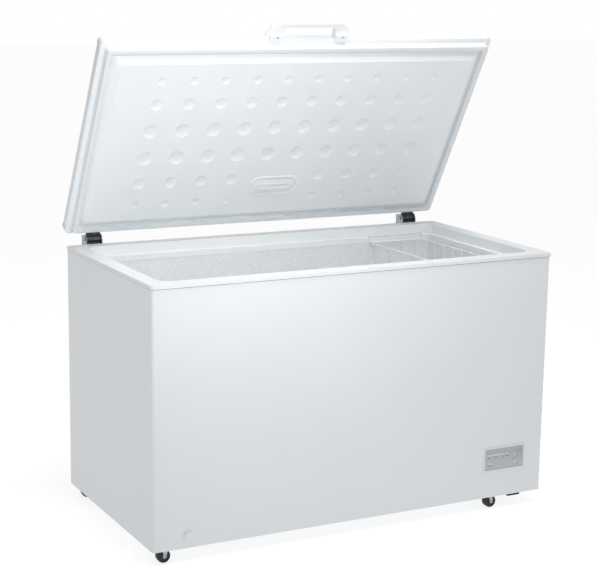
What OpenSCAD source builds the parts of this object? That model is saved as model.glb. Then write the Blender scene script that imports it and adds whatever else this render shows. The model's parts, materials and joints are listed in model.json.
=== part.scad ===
// Chest freezer with a counterbalanced lid, a hanging basket and four swivel casters.
// Millimetres. +X to the right end, +Y to the back, +Z up. The floor is z = 0 and the
// z axis runs through the middle of the cabinet. The lid is drawn open by lid_open.

/* [Cabinet] */
// Outer width of the plastic rim on top of the cabinet
rim_w = 1285; // [900:1:1600]
// Outer depth of the rim, front to back
rim_d = 666; // [500:1:800]
// Height of the rim's top face above the floor
rim_top = 777; // [600:1:950]
// Height of the cabinet skirt above the floor
skirt_z = 40; // [25:1:80]
// How far the rim overhangs the sheet below it on each side
rim_over = 3.5; // [1:0.5:8]
// Height of the rim's outer band
rim_band = 11; // [6:1:20]
// Width of the rim's flat top
rim_flat = 45.5; // [30:0.5:70]
// Depth of the basket ledge below the rim's top
ledge_drop = 31; // [20:1:50]
// Width of the basket ledge
ledge_w = 10; // [6:1:16]
// Sheet thickness of the outer shell and the liner
sheet_t = 1; // [0.6:0.1:2]
// Outer radius of the shell's two front corners
shell_r = 9; // [4:1:30]

/* [Inside] */
// Thickness of the insulation under the tub floor
floor_foam = 56; // [40:1:90]
// Left edge of the machine bay at the right end
bay_x = 380; // [300:1:450]
// Height of the machine bay's ceiling above the floor
bay_top = 290; // [220:1:340]
// Insulation between the machine bay and the tub
bay_foam = 54; // [40:1:80]
// Inner corner radius of the tub
tub_r = 26; // [15:1:50]
// Number of evaporator turns round the tub
evap_turns = 6; // [3:1:8]
// Number of condenser passes round the shell
cond_turns = 6; // [4:2:6]

/* [Lid] */
// Angle the lid is drawn open from closed, in degrees
lid_open = 60.5; // [0:0.5:85]
// Width of the lid over its steel skin
lid_w = 1280; // [900:1:1600]
// Depth of the lid over its steel skin
lid_d = 668.6; // [500:0.1:800]
// Gap between the rim's top and the lower edge of the skin when closed
lid_gap = 26; // [15:1:40]
// Height of the skin's edge
lid_edge = 26; // [18:1:40]
// How far the inner plateau reaches below the skin's edge
plateau_drop = 32; // [15:1:45]
// Width of the gasket
gasket_w = 18; // [12:1:19]
// Clearance between the closed gasket and the rim
gasket_gap = 0.3; // [0.1:0.1:1]
// Distance of the hinge axis behind the middle of the cabinet
pivot_y = 351; // [300:1:420]
// Height of the hinge axis above the rim
pivot_up = 13; // [5:1:25]
// Distance of each hinge from the middle of the cabinet
hinge_x = 552; // [350:1:600]
// Width of each hinge over its two walls
hinge_w = 51; // [46:1:80]

/* [Handle] */
// Width of the handle over its feet
handle_w = 284; // [180:1:360]
// Length of the straight grip
grip_w = 188; // [120:1:260]
// How far the grip reaches in front of the lid
grip_out = 53; // [35:1:80]
// Depth of the grip bar
grip_t = 18; // [12:1:28]

/* [Basket] */
// Width of the basket over its frame wire
basket_w = 203; // [150:1:300]
// Distance of the basket's middle from the cabinet's middle
basket_x = 466; // [0:1:470]
// Depth of the basket below its frame wire
basket_h = 190; // [120:1:260]
// Frame wire diameter
frame_wire = 5; // [3:0.5:7]
// Infill wire diameter
thin_wire = 3.2; // [2:0.1:4]

/* [Casters] */
// Wheel diameter
wheel_d = 38; // [30:1:60]
// Wheel width
wheel_w = 24; // [15:1:30]
// Distance of the wheel's axle behind the swivel axis
trail = 12; // [6:1:20]
// Swivel axis of the two left casters
caster_xl = -586; // [-600:1:-400]
// Swivel axis of the two right casters
caster_xr = 460; // [300:1:600]
// Distance of the swivel axes in front of and behind the middle
caster_y = 300; // [200:1:305]
// Axle diameter
axle_d = 5; // [4:0.5:8]
// Running clearance on the radius of every pin and axle
run_c = 0.05; // [0.01:0.01:0.1]

/* [Control panel] */
// Middle of the panel, left to right
panel_x = 502; // [420:1:540]
// Middle of the panel, height
panel_z = 158.5; // [120:0.5:220]
// Width of the bezel
panel_w = 150; // [100:1:200]
// Height of the bezel
panel_h = 77; // [50:1:100]
// Lean of the face plate, its top edge deeper than its bottom edge
panel_lean = 12.5; // [0:0.5:20]
// Button diameter
button_d = 11; // [6:1:16]

/* [Drain] */
// Drain outlet, left to right
drain_x = -533; // [-580:1:0]
// Drain outlet, height
drain_z = 73; // [60:1:100]
// Diameter of the outer drain cap
drain_cap_d = 32; // [20:1:45]

/* [Hidden] */
$fn = 48;

shell_w = rim_w - 2 * rim_over;
shell_d = rim_d - 2 * rim_over;
foam_w = shell_w - 2 * sheet_t;
foam_d = shell_d - 2 * sheet_t;
base_z = skirt_z + 7;
foam_z = base_z + sheet_t;
shell_top = rim_top - 3;
mouth_w = rim_w - 2 * rim_flat;
mouth_d = rim_d - 2 * rim_flat;
ledge_z = rim_top - ledge_drop;
lip_w = mouth_w - 2 * ledge_w;
lip_d = mouth_d - 2 * ledge_w;
lip_z = ledge_z - 18;
tub_w = lip_w + 4;
tub_d = lip_d + 4;
tub_z = foam_z + floor_foam + sheet_t;
step_x = bay_x - bay_foam + 3;
step_z = bay_top + bay_foam + sheet_t;
liner_top = ledge_z - 2.5;

evap_t = 6;
evap_h = 8;
evap_x = tub_w / 2 + sheet_t + 0.2;
evap_z0 = step_z + 35;
evap_step = (liner_top - 60 - evap_z0) / (evap_turns - 1);
evap_top = evap_z0 + (evap_turns - 1) * evap_step;
evap_in = [evap_x + evap_t / 2, 234, bay_top - sheet_t];
evap_out = [evap_x + evap_t * 1.5 + 1, 172, bay_top - sheet_t];
cond_t = 5;
cond_x = shell_w / 2 - sheet_t - 0.2 - cond_t;
cond_z0 = bay_top + 40;
cond_step = (shell_top - 50 - cond_z0) / (cond_turns - 1);
cond_top = cond_z0 + (cond_turns - 1) * cond_step;
cond_end = 300;
cond_in = [cond_x + cond_t / 2, cond_end - 2.5, bay_top - sheet_t];
cond_out = [cond_x - 1 - cond_t / 2, cond_end - 27.5, bay_top - sheet_t];

pivot_z = rim_top + pivot_up;
lid_cy = -0.7;
skin_z = rim_top + lid_gap;
skin_top = skin_z + lid_edge;
plate_z = skin_z - plateau_drop;
seat_z = rim_top + 14;
lid_t = 1.5;
seat_in = 14;
slope_in = 34;
slope_run = 26;
plateau_cut = 12;
cap_r = 14;
seat_r = 14;
lamp_y = 172;
lamp_l = 170;
lamp_w = 74;
leaf_y = 333.6;
leaf_w = hinge_w - 7;
hinge_drop = 118;
flange_x = hinge_w / 2 + 9;
pin_l = hinge_w + 6;

axle_z = wheel_d / 2;
plate_top = base_z;
fork_y = wheel_w / 2 + 0.6;

comp_x = 508;
comp_y = 95;
comp_z = base_z + 2;

// plan shape with four rounded corners
module rbox(w, d, z0, z1, r, cy = 0) {
    translate([-w / 2 + r, cy - d / 2, z0]) cube([w - 2 * r, d, z1 - z0]);
    translate([-w / 2, cy - d / 2 + r, z0]) cube([w, d - 2 * r, z1 - z0]);
    for (sx = [-1, 1]) for (sy = [-1, 1])
        translate([sx * (w / 2 - r), cy + sy * (d / 2 - r), z0]) cylinder(r = r, h = z1 - z0);
}

// plan shape with the two front corners rounded and the back square, back face at yb
module dbox(w, yf, yb, z0, z1, r) {
    translate([-w / 2 + r, yf, z0]) cube([w - 2 * r, yb - yf, z1 - z0]);
    translate([-w / 2, yf + r, z0]) cube([w, yb - yf - r, z1 - z0]);
    for (sx = [-1, 1])
        translate([sx * (w / 2 - r), yf + r, z0]) cylinder(r = r, h = z1 - z0);
}

// plan ring between two rounded rectangles
module ring(w, d, r, wi, di, ri, z0, z1, cy = 0) {
    difference() {
        rbox(w, d, z0, z1, r, cy);
        rbox(wi, di, z0 - 1, z1 + 1, ri, cy);
    }
}

// slot-ended bar lying along X
module slot(l, w, z0, z1) {
    translate([-(l - w) / 2, -w / 2, z0]) cube([l - w, w, z1 - z0]);
    for (s = [-1, 1]) translate([s * (l - w) / 2, 0, z0]) cylinder(d = w, h = z1 - z0);
}

module rod(a, b, d) {
    v = b - a;
    l = norm(v);
    translate(a) rotate([0, acos(v[2] / l), atan2(v[1], v[0])]) cylinder(d = d, h = l, $fn = 24);
}

// round wire through a list of points, with balls b times as thick at its joints
module run(pts, d, b = 1) {
    for (i = [0 : len(pts) - 2]) rod(pts[i], pts[i + 1], d);
    for (i = [1 : len(pts) - 2]) translate(pts[i]) sphere(d = d * b, $fn = 24);
}

// tube through a list of points, each length run a little past its joints
module line(pts, d) {
    last = len(pts) - 2;
    for (i = [0 : last]) {
        u = (pts[i + 1] - pts[i]) / norm(pts[i + 1] - pts[i]) * d * 0.3;
        rod(pts[i] - (i > 0 ? u : [0, 0, 0]), pts[i + 1] + (i < last ? u : [0, 0, 0]), d);
    }
}

// puts what is drawn for the closed lid where the open lid is
module on_lid() {
    translate([0, pivot_y, pivot_z]) rotate([-lid_open, 0, 0])
        translate([0, -pivot_y, -pivot_z]) children();
}

// ---- cabinet -------------------------------------------------------------

module wrap_plan(z0, z1, inset) {
    r = max(shell_r - inset, 1);
    dbox(shell_w - 2 * inset, -shell_d / 2 + inset, shell_d / 2 + 2 * inset, z0, z1, r);
}

module cabinet_wrap() color([0.95, 0.95, 0.95]) difference() {
    wrap_plan(skirt_z, shell_top, 0);
    wrap_plan(skirt_z + sheet_t, shell_top + 1, sheet_t);
    wrap_plan(skirt_z - 1, skirt_z + 2, 8);
    translate([panel_x - panel_w / 2 + 4, -shell_d / 2 - 2, panel_z - panel_h / 2 + 4])
        cube([panel_w - 8, 10, panel_h - 8]);
    translate([drain_x, -shell_d / 2 - 2, drain_z]) rotate([-90, 0, 0])
        cylinder(d = 20, h = 10);
}

module vent_hole(g = 0) {
    translate([402 + g, shell_d / 2 - 3, 62 + g]) cube([216 - 2 * g, 6, 206 - 2 * g]);
}

module hinge_screw_at() {
    for (s = [-1, 1]) for (e = [-1, 1]) for (z = [-107, -50])
        translate([s * hinge_x + e * flange_x, shell_d / 2, pivot_z + z]) rotate([90, 0, 0]) children();
}

module grille_screw_at() {
    for (x = [394, 626]) for (z = [66, 264])
        translate([x, shell_d / 2, z]) rotate([90, 0, 0]) children();
}

module back_panel() color([0.75, 0.76, 0.77]) difference() {
    translate([-foam_w / 2, shell_d / 2 - sheet_t, skirt_z + sheet_t])
        cube([foam_w, sheet_t, shell_top - skirt_z - sheet_t]);
    vent_hole();
    hinge_screw_at() cylinder(d = 4, h = 20, center = true);
    grille_screw_at() cylinder(d = 3, h = 20, center = true);
}

module base_panel() color([0.7, 0.71, 0.72]) difference() {
    union() {
        dbox(foam_w, -foam_d / 2, foam_d / 2, base_z, foam_z, shell_r - sheet_t);
        translate([bay_x, -foam_d / 2, base_z]) cube([sheet_t, foam_d, bay_top - base_z]);
        translate([bay_x, -foam_d / 2, bay_top - sheet_t])
            cube([foam_w / 2 - bay_x, foam_d, sheet_t]);
    }
    translate([bay_x + sheet_t, -foam_d, base_z - 1]) cube([400, 2 * foam_d, sheet_t + 2]);
    evap_risers();
    cond_risers();
}

// drain channel from the tub floor to the front of the cabinet
module drain_path(d) {
    translate([drain_x, -230, drain_z]) cylinder(d = d, h = tub_z - sheet_t - drain_z);
    translate([drain_x, -230, drain_z]) sphere(d = d);
    translate([drain_x, -shell_d / 2, drain_z]) rotate([-90, 0, 0])
        cylinder(d = d, h = shell_d / 2 - 230);
}

module tub_space(grow, z_low, z_high) {
    difference() {
        rbox(tub_w + 2 * grow, tub_d + 2 * grow, z_low - grow, z_high, tub_r + grow);
        translate([step_x - grow, -500, z_low - 50]) cube([600, 1000, step_z - grow - z_low + 50]);
    }
}

// flattened tube ends that come down through the bay's ceiling
module evap_risers(g = 0) {
    translate([evap_x - g, 230 - g, bay_top - sheet_t])
        cube([evap_t + 2 * g, 8 + 2 * g, evap_z0 + evap_h / 2 - bay_top + sheet_t]);
    translate([evap_x + evap_t + 1 - g, 168 - g, bay_top - sheet_t])
        cube([evap_t + 2 * g, 8 + 2 * g, evap_top + evap_h / 2 - bay_top + sheet_t + g]);
}

module cond_risers(g = 0) {
    translate([cond_x - g, cond_end - 5 - g, bay_top - sheet_t])
        cube([cond_t + 2 * g, 5 + 2 * g, cond_z0 + 2.5 - bay_top + sheet_t]);
    translate([cond_x - cond_t - 1 - g, cond_end - 30 - g, bay_top - sheet_t])
        cube([cond_t + 2 * g, 5 + 2 * g, cond_top + 2.5 - bay_top + sheet_t + g]);
}

module evap_turn(z, g = 0) {
    o = 0.2 + evap_t + g;
    rbox(tub_w + 2 * sheet_t + 2 * o, tub_d + 2 * sheet_t + 2 * o, z - evap_h / 2 - g,
        z + evap_h / 2 + g, tub_r + sheet_t + o);
}

module cond_pass(z, g = 0) {
    wrap_plan(z - 2.5 - g, z + 2.5 + g, sheet_t + 0.2 - g);
}

module evap_grooves() {
    for (i = [0 : evap_turns - 1]) evap_turn(evap_z0 + i * evap_step, 0.5);
    evap_risers(0.5);
    translate([evap_x - 1, 160, evap_z0 - 4.5])
        cube([evap_t + 1.5, 84, evap_top - evap_z0 + 9]);
    translate([evap_x + evap_t, 167, evap_top - 4.5]) cube([3, 10, 9]);
}

module cond_grooves() {
    for (i = [0 : cond_turns - 1]) difference() {
        cond_pass(cond_z0 + i * cond_step, 0.5);
        wrap_plan(0, shell_top + 50, sheet_t + cond_t + 0.7);
        translate([-700, cond_end + 0.5, 0]) cube([1400, 100, 900]);
    }
    for (i = [0 : cond_turns - 2]) {
        x = i % 2 == 0 ? -cond_x - cond_t - 0.5 : cond_x - 0.5;
        translate([x, cond_end - 5.5, cond_z0 + i * cond_step]) cube([cond_t + 1, 6, cond_step]);
    }
    cond_risers(0.5);
    translate([cond_x - 2, cond_end - 30.5, cond_top - 3]) cube([4, 6, 6]);
}

module cabinet_foam() color([0.93, 0.88, 0.7]) difference() {
    dbox(foam_w, -foam_d / 2, foam_d / 2, foam_z, shell_top, shell_r - sheet_t);
    translate([bay_x, -400, 0]) cube([300, 800, bay_top]);
    tub_space(sheet_t, tub_z, liner_top);
    rbox(mouth_w + 5, mouth_d + 5, liner_top, shell_top + 1, tub_r + ledge_w + 2.5);
    evap_grooves();
    cond_grooves();
    drain_path(20);
    hinge_screw_at() cylinder(d = 4, h = 26, center = true);
}

module inner_liner() color([0.8, 0.81, 0.83]) difference() {
    tub_space(sheet_t, tub_z, liner_top);
    tub_space(0, tub_z, liner_top + 1);
    translate([drain_x, -230, tub_z - 3]) cylinder(d = 16, h = 6);
}

module rim_frame() color([0.96, 0.96, 0.96]) {
    mr = tub_r + ledge_w;
    ring(rim_w, rim_d, 10, mouth_w, mouth_d, mr, shell_top, rim_top);
    difference() {
        rbox(rim_w, rim_d, rim_top - rim_band, shell_top, 10);
        dbox(shell_w, -shell_d / 2, shell_d / 2, rim_top - rim_band - 1, shell_top + 1, shell_r);
    }
    ring(mouth_w + 5, mouth_d + 5, mr + 2.5, mouth_w, mouth_d, mr, liner_top, shell_top);
    ring(mouth_w + 5, mouth_d + 5, mr + 2.5, lip_w, lip_d, tub_r - 2, liner_top, ledge_z);
    ring(lip_w + 4, lip_d + 4, tub_r, lip_w, lip_d, tub_r - 2, lip_z, liner_top);
}

// flattened tube wound round the tub, turn above turn
module evaporator_tube() color([0.8, 0.5, 0.35]) {
    for (i = [0 : evap_turns - 1]) {
        z = evap_z0 + i * evap_step;
        difference() {
            evap_turn(z);
            rbox(tub_w + 2 * sheet_t + 0.4, tub_d + 2 * sheet_t + 0.4, z - 9, z + 9,
                tub_r + sheet_t + 0.2);
            translate([evap_x - 5, 180, z - 9]) cube([20, 50, 18]);
        }
    }
    for (i = [0 : evap_turns - 2]) {
        z = evap_z0 + i * evap_step;
        translate([evap_x, 0, 0]) rotate([90, 0, 90]) linear_extrude(evap_t)
            polygon([[178, z - 4], [232, z + evap_step - 4], [232, z + evap_step + 4],
                [178, z + 4]]);
    }
    evap_risers();
    translate([evap_x + evap_t - 1, 168, evap_top - 4]) cube([3, 8, 8]);
}

// flattened tube on the inside of the shell, pass above pass
module condenser_tube() color([0.8, 0.5, 0.35]) {
    for (i = [0 : cond_turns - 1]) difference() {
        cond_pass(cond_z0 + i * cond_step);
        wrap_plan(0, 900, sheet_t + 0.2 + cond_t);
        translate([-700, cond_end, 0]) cube([1400, 100, 900]);
    }
    for (i = [0 : cond_turns - 2]) {
        x = i % 2 == 0 ? -cond_x - cond_t : cond_x;
        translate([x, cond_end - 5, cond_z0 + i * cond_step]) cube([cond_t, 5, cond_step]);
    }
    cond_risers();
    translate([cond_x - 2, cond_end - 30, cond_top - 2.5]) cube([3, 5, 5]);
}

// ---- machine bay -----------------------------------------------------------

module compressor_shell() color([0.12, 0.12, 0.13]) translate([comp_x, comp_y, comp_z]) {
    translate([0, 0, 18]) rotate_extrude($fn = 64) polygon([[0, 0], [40, 2], [62, 10], [74, 26],
        [78, 44], [78, 70], [82, 70], [82, 76], [78, 76], [77, 104], [70, 126], [52, 142],
        [26, 149], [0, 151]]);
    for (s = [-1, 1]) difference() {
        union() {
            translate([-95, s * 58 - 16, 15]) cube([190, 32, 4]);
            translate([-30, s * 50 - 9, 15]) cube([60, 18, 19]);
        }
        for (e = [-1, 1]) translate([e * 78, s * 58, 10]) cylinder(d = 16, h = 20);
    }
}

module mount_at() {
    for (s = [-1, 1]) for (e = [-1, 1])
        translate([comp_x + e * 78, comp_y + s * 58, comp_z]) children();
}

module compressor_mounts() color([0.1, 0.1, 0.1]) mount_at() difference() {
    union() {
        cylinder(d = 26, h = 15);
        cylinder(d = 16, h = 22);
        translate([0, 0, 19]) cylinder(d = 22, h = 5);
    }
    translate([0, 0, -1]) cylinder(d = 7, h = 40);
}

module compressor_tray() color([0.55, 0.56, 0.57]) {
    difference() {
        intersection() {
            translate([bay_x + sheet_t, -foam_d / 2, base_z]) cube([300, foam_d, 2]);
            dbox(foam_w, -foam_d / 2, foam_d / 2, base_z, base_z + 2, shell_r - sheet_t);
        }
        for (x = [430, 540, 600]) for (y = [-200, -140])
            translate([x, y, base_z - 1]) cylinder(d = 18, h = 5);
    }
    mount_at() {
        cylinder(d = 7, h = 30);
        translate([0, 0, 24]) cylinder(d = 14, h = 4, $fn = 6);
    }
}

module tray_block() color([0.05, 0.05, 0.05]) translate([516, -321.2, 0])
    rotate([90, 0, 0]) translate([0, 0, -26]) linear_extrude(26)
    polygon([[0, base_z], [0, skirt_z], [11, skirt_z - 9], [50, skirt_z - 9],
        [54, skirt_z - 6], [56, skirt_z], [56, base_z]]);

module relay_box() color([0.15, 0.15, 0.16]) translate([comp_x - 30, comp_y - 116.2, comp_z + 62])
    cube([60, 34, 56]);

module filter_drier() color([0.82, 0.52, 0.36]) translate([428, 20, 0]) {
    translate([0, 0, 120]) cylinder(d = 19, h = 90);
    translate([0, 0, 112]) cylinder(d = 8, h = 106);
}

// low pressure return from the evaporator to the compressor
module suction_line() color([0.8, 0.5, 0.35])
    line([evap_out, [evap_out[0], 178, 150], [590, 177, 125], [563.4, 150.4, 125]], 7);

// hot gas from the compressor to the condenser
module discharge_line() color([0.8, 0.5, 0.35])
    line([[comp_x, comp_y + 78.3, 125], [comp_x, 230, 125], [600, 285, 150],
        [cond_in[0], cond_in[1], 180], cond_in], 4.4);

// condensed refrigerant from the condenser to the drier
module liquid_line() color([0.8, 0.5, 0.35])
    run([cond_out, [cond_out[0], cond_out[1], 92], [428, 252, 92], [428, 20, 92], [428, 20, 112]],
        4.4, 1.12);

// fine tube from the drier up to the evaporator
module capillary_tube() color([0.85, 0.55, 0.38])
    run([[428, 20, 218], [428, 20, 262], [evap_in[0], 20, 262], [evap_in[0], evap_in[1], 262],
        evap_in], 3, 1.12);

module rear_vent_grille() color([0.15, 0.15, 0.16]) difference() {
    union() {
        translate([382, shell_d / 2, 50]) cube([256, 2, 230]);
        translate([402, shell_d / 2 - 3, 62]) difference() {
            cube([216, 3, 206]);
            translate([3, -1, 3]) cube([210, 5, 200]);
        }
    }
    for (i = [0 : 11]) translate([420, shell_d / 2 - 5, 76 + i * 13]) cube([180, 10, 6]);
    grille_screw_at() cylinder(d = 3, h = 20, center = true);
    translate([590, shell_d / 2, 250]) rotate([90, 0, 0]) cylinder(d = 14, h = 20, center = true);
}

module grille_screws() color([0.7, 0.7, 0.72]) grille_screw_at() {
    translate([0, 0, -4]) cylinder(d = 7, h = 2);
    translate([0, 0, -4]) cylinder(d = 3, h = 14);
}

// bushing the supply lead enters by
module cord_gland() color([0.1, 0.1, 0.1]) translate([590, shell_d / 2, 250]) rotate([-90, 0, 0])
    difference() {
        union() {
            translate([0, 0, -8]) cylinder(d = 14, h = 16);
            translate([0, 0, 2]) cylinder(d = 20, h = 5);
            translate([0, 0, -9]) cylinder(d = 20, h = 6);
        }
        translate([0, 0, -20]) cylinder(d = 8, h = 40);
    }

// ---- control panel ---------------------------------------------------------

module on_panel() {
    translate([panel_x, -shell_d / 2 + 7, panel_z]) rotate([-panel_lean, 0, 0])
        rotate([90, 0, 0]) children();
}

module button_at(k) {
    on_panel() translate([41, k == 0 ? 4.8 : -19, 0]) children();
}

module panel_bezel() color([0.93, 0.93, 0.93]) difference() {
    union() {
        translate([panel_x - panel_w / 2, -shell_d / 2 - 1.5, panel_z - panel_h / 2])
            cube([panel_w, 1.5, panel_h]);
        translate([panel_x - panel_w / 2 + 4, -shell_d / 2, panel_z - panel_h / 2 + 4])
            cube([panel_w - 8, 34, panel_h - 8]);
    }
    translate([panel_x - panel_w / 2 + 6, -shell_d / 2 - 5, panel_z - panel_h / 2 + 6])
        cube([panel_w - 12, 37, panel_h - 12]);
}

module panel_faceplate() color([0.6, 0.62, 0.64]) difference() {
    on_panel() translate([-panel_w / 2 + 6, -32.5, -2]) cube([panel_w - 12, 65, 2]);
    for (k = [0, 1]) button_at(k) translate([0, 0, -5])
        cylinder(d = button_d + 2 * run_c + 0.1, h = 10);
    lens_shapes(-5, 5);
}

module lens_shapes(a, b) {
    on_panel() {
        translate([-25, 9.7, a]) {
            translate([-30, -2.6, 0]) cube([60, 5.2, b - a]);
            for (s = [-1, 1]) translate([s * 30, 0, 0]) cylinder(d = 5.2, h = b - a);
        }
        translate([16.5, 9.2, a]) cylinder(d = 7, h = b - a);
        translate([-48, -14.9, a]) cylinder(d = 7, h = b - a);
    }
}

module indicator_lenses() color([1, 1, 1]) lens_shapes(-4, 0.4);

module control_board() color([0.1, 0.4, 0.2]) on_panel() {
    translate([-62, -27, -11]) cube([124, 54, 1.6]);
    for (y = [4.8, -19]) translate([38, y - 3, -9.4]) cube([6, 6, 3]);
    translate([-30, -20, -9.4]) cube([40, 16, 4]);
}

module button(k) {
    button_at(k) translate([0, 0, -5.2]) cylinder(d = button_d, h = 6.6);
}

module button_upper() color([0.75, 0.77, 0.79]) button(0);

module button_lower() color([0.75, 0.77, 0.79]) button(1);

// ---- drain -----------------------------------------------------------------

module drain_pipe() color([0.85, 0.85, 0.86]) difference() {
    drain_path(20);
    drain_path(16);
    translate([drain_x, -shell_d / 2, drain_z]) rotate([-90, 0, 0])
        cylinder(d = 16, h = 30, center = true);
    translate([drain_x, -230, drain_z + 10]) cylinder(d = 16, h = 60);
}

module drain_cap() color([0.94, 0.94, 0.94]) translate([drain_x, -shell_d / 2, drain_z])
    rotate([90, 0, 0]) {
        translate([0, 0, 0.3]) cylinder(d = drain_cap_d, h = 4);
        translate([0, 0, 4.3]) intersection() {
            cylinder(d = drain_cap_d - 6, h = 3);
            translate([-20, -1, 0]) cube([40, 40, 3]);
        }
        translate([0, 0, -22]) cylinder(d = 16 - 2 * run_c, h = 23);
    }

module drain_plug() color([0.94, 0.94, 0.94]) translate([drain_x, -230, tub_z]) {
    translate([0, 0, 0.3]) cylinder(d = 34, h = 4);
    translate([0, 0, 4]) cylinder(d = 12, h = 8);
    translate([0, 0, -18]) cylinder(d = 16 - 2 * run_c, h = 19);
}

// ---- casters ---------------------------------------------------------------

module caster_at(n) {
    x = n == 0 || n == 2 ? caster_xl : caster_xr;
    y = n < 2 ? -caster_y : caster_y;
    translate([x, y, 0]) mirror([n == 0 || n == 2 ? 1 : 0, 0, 0]) children();
}

module bolt_spots() {
    for (s = [-1, 1]) for (e = [-1, 1]) translate([s * 21, e * 18, plate_top]) children();
}

module caster_plates() color([0.12, 0.12, 0.13]) for (n = [0 : 3]) caster_at(n) difference() {
    union() {
        translate([-28, -24, plate_top - 2.5]) cube([56, 48, 2.5]);
        translate([0, 0, plate_top - 5]) cylinder(d = 34, h = 4);
    }
    translate([0, 0, plate_top - 10]) cylinder(r = 5 + run_c, h = 20);
    translate([0, 0, plate_top - 1.4]) cylinder(r = 7.3, h = 5);
    bolt_spots() cylinder(d = 5, h = 20, center = true);
}

module caster_bolts() color([0.7, 0.7, 0.72]) for (n = [0 : 3]) caster_at(n) bolt_spots()
    translate([0, 0, -2.5]) {
        cylinder(d = 5, h = 2.5);
        translate([0, 0, -2]) cylinder(d = 8.5, h = 2);
    }

module caster_fork(n) caster_at(n) {
    translate([0, 0, plate_top - 7]) cylinder(d = 31, h = 1.7);
    translate([0, 0, plate_top - 7]) cylinder(r = 5, h = 6.9);
    translate([0, 0, plate_top - 1.1]) cylinder(r = 7, h = 1);
    translate([trail, 0, plate_top - 7]) translate([-24, -fork_y - 2, 0])
        cube([27, 2 * fork_y + 4, 1.7]);
    for (s = [-1, 1]) translate([0, s > 0 ? fork_y : -fork_y - 2, 0]) {
        translate([0, 2, 0]) rotate([90, 0, 0]) linear_extrude(2) polygon([[-12, plate_top - 5.3],
            [trail - 5.6, axle_z - 3], [trail + 5.8, axle_z - 2], [trail + 3, plate_top - 5.3]]);
        translate([trail, 2, axle_z]) rotate([90, 0, 0]) cylinder(r = 6, h = 2);
    }
    translate([trail, fork_y + 3.4, axle_z]) rotate([90, 0, 0])
        cylinder(d = axle_d, h = 2 * fork_y + 6.8);
    for (s = [-1, 1]) translate([trail, s * (fork_y + 2.7) + 0.8, axle_z]) rotate([90, 0, 0])
        cylinder(d = 8.4, h = 1.6);
}

module caster_wheel(n) caster_at(n) translate([trail, 0, axle_z]) rotate([90, 0, 0]) difference() {
    union() {
        cylinder(d = wheel_d, h = wheel_w - 5, center = true);
        cylinder(d = wheel_d - 4, h = wheel_w - 2, center = true);
        cylinder(d = wheel_d - 16, h = wheel_w, center = true);
    }
    cylinder(r = axle_d / 2 + run_c, h = wheel_w + 2, center = true);
}

module caster_fork_fl() color([0.62, 0.63, 0.65]) caster_fork(0);

module caster_fork_fr() color([0.62, 0.63, 0.65]) caster_fork(1);

module caster_fork_rl() color([0.62, 0.63, 0.65]) caster_fork(2);

module caster_fork_rr() color([0.62, 0.63, 0.65]) caster_fork(3);

module caster_wheel_fl() color([0.06, 0.06, 0.06]) caster_wheel(0);

module caster_wheel_fr() color([0.06, 0.06, 0.06]) caster_wheel(1);

module caster_wheel_rl() color([0.06, 0.06, 0.06]) caster_wheel(2);

module caster_wheel_rr() color([0.06, 0.06, 0.06]) caster_wheel(3);

// ---- hinges ----------------------------------------------------------------

module at_hinges() {
    for (s = [-1, 1]) translate([s * hinge_x, 0, 0]) children();
}

module hinge_bases() color([0.6, 0.61, 0.62]) {
    at_hinges() {
        for (s = [-1, 1]) translate([s * (hinge_w / 2 - 1) - 1, 0, 0]) difference() {
            union() {
                translate([0, 335, pivot_z - hinge_drop]) cube([2, 42, hinge_drop]);
                translate([0, shell_d / 2, pivot_z - hinge_drop]) cube([2, 20, 93]);
                translate([0, pivot_y, pivot_z]) rotate([0, 90, 0]) cylinder(r = 14, h = 2);
                translate([0, pivot_y, pivot_z - 2]) cube([2, 26, 12]);
            }
            translate([-1, pivot_y, pivot_z]) rotate([0, 90, 0]) cylinder(r = 4, h = 4);
        }
        translate([1 - hinge_w / 2, 375, pivot_z - hinge_drop]) cube([hinge_w - 2, 2, 126]);
        translate([1 - hinge_w / 2, shell_d / 2 + 0.5, pivot_z - hinge_drop]) cube([hinge_w - 2, 47, 2]);
    }
    difference() {
        at_hinges() for (s = [-1, 1]) translate([s * flange_x - 10, shell_d / 2, pivot_z - hinge_drop])
            cube([20, 2, 80]);
        hinge_screw_at() cylinder(d = 4, h = 20, center = true);
    }
}

module hinge_pins() color([0.75, 0.76, 0.78]) at_hinges()
    translate([-pin_l / 2, pivot_y, pivot_z]) rotate([0, 90, 0]) {
        cylinder(r = 4, h = pin_l);
        cylinder(r = 6, h = 2);
        translate([0, 0, pin_l - 2]) cylinder(r = 6, h = 2);
    }

// coils drawn as closed rings on one bar
module hinge_springs() color([0.3, 0.31, 0.33]) at_hinges() translate([0, pivot_y, pivot_z - 114]) {
    for (i = [0 : 10]) translate([0, 0, i * 6.6])
        rotate_extrude($fn = 48) translate([8, 0]) circle(d = 3.2, $fn = 24);
    translate([8, 0, 0]) cylinder(d = 2, h = 66);
}

// plunger that presses on the leaf's barrel
module hinge_plungers() color([0.5, 0.51, 0.53]) at_hinges() translate([0, pivot_y, pivot_z]) {
    translate([0, 0, -45.6]) cylinder(d = 22, h = 30);
    translate([0, 0, -116]) cylinder(d = 10, h = 80);
    translate([-20, -8, -18]) cube([40, 16, 8.5]);
}

module hinge_screws() color([0.7, 0.7, 0.72]) hinge_screw_at() {
    translate([0, 0, -4.5]) cylinder(d = 8, h = 2.5);
    translate([0, 0, -4.5]) cylinder(d = 4, h = 17.5);
}

// ---- lid -------------------------------------------------------------------

module corner_zones(z0, z1, c) {
    for (sx = [-1, 1]) for (sy = [-1, 1])
        translate([sx * (lid_w / 2 - c / 2 + 2) - c / 2 - 2, lid_cy + sy * (lid_d / 2 - c / 2 + 2)
            - c / 2 - 2, z0]) cube([c + 4, c + 4, z1 - z0]);
}

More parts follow.
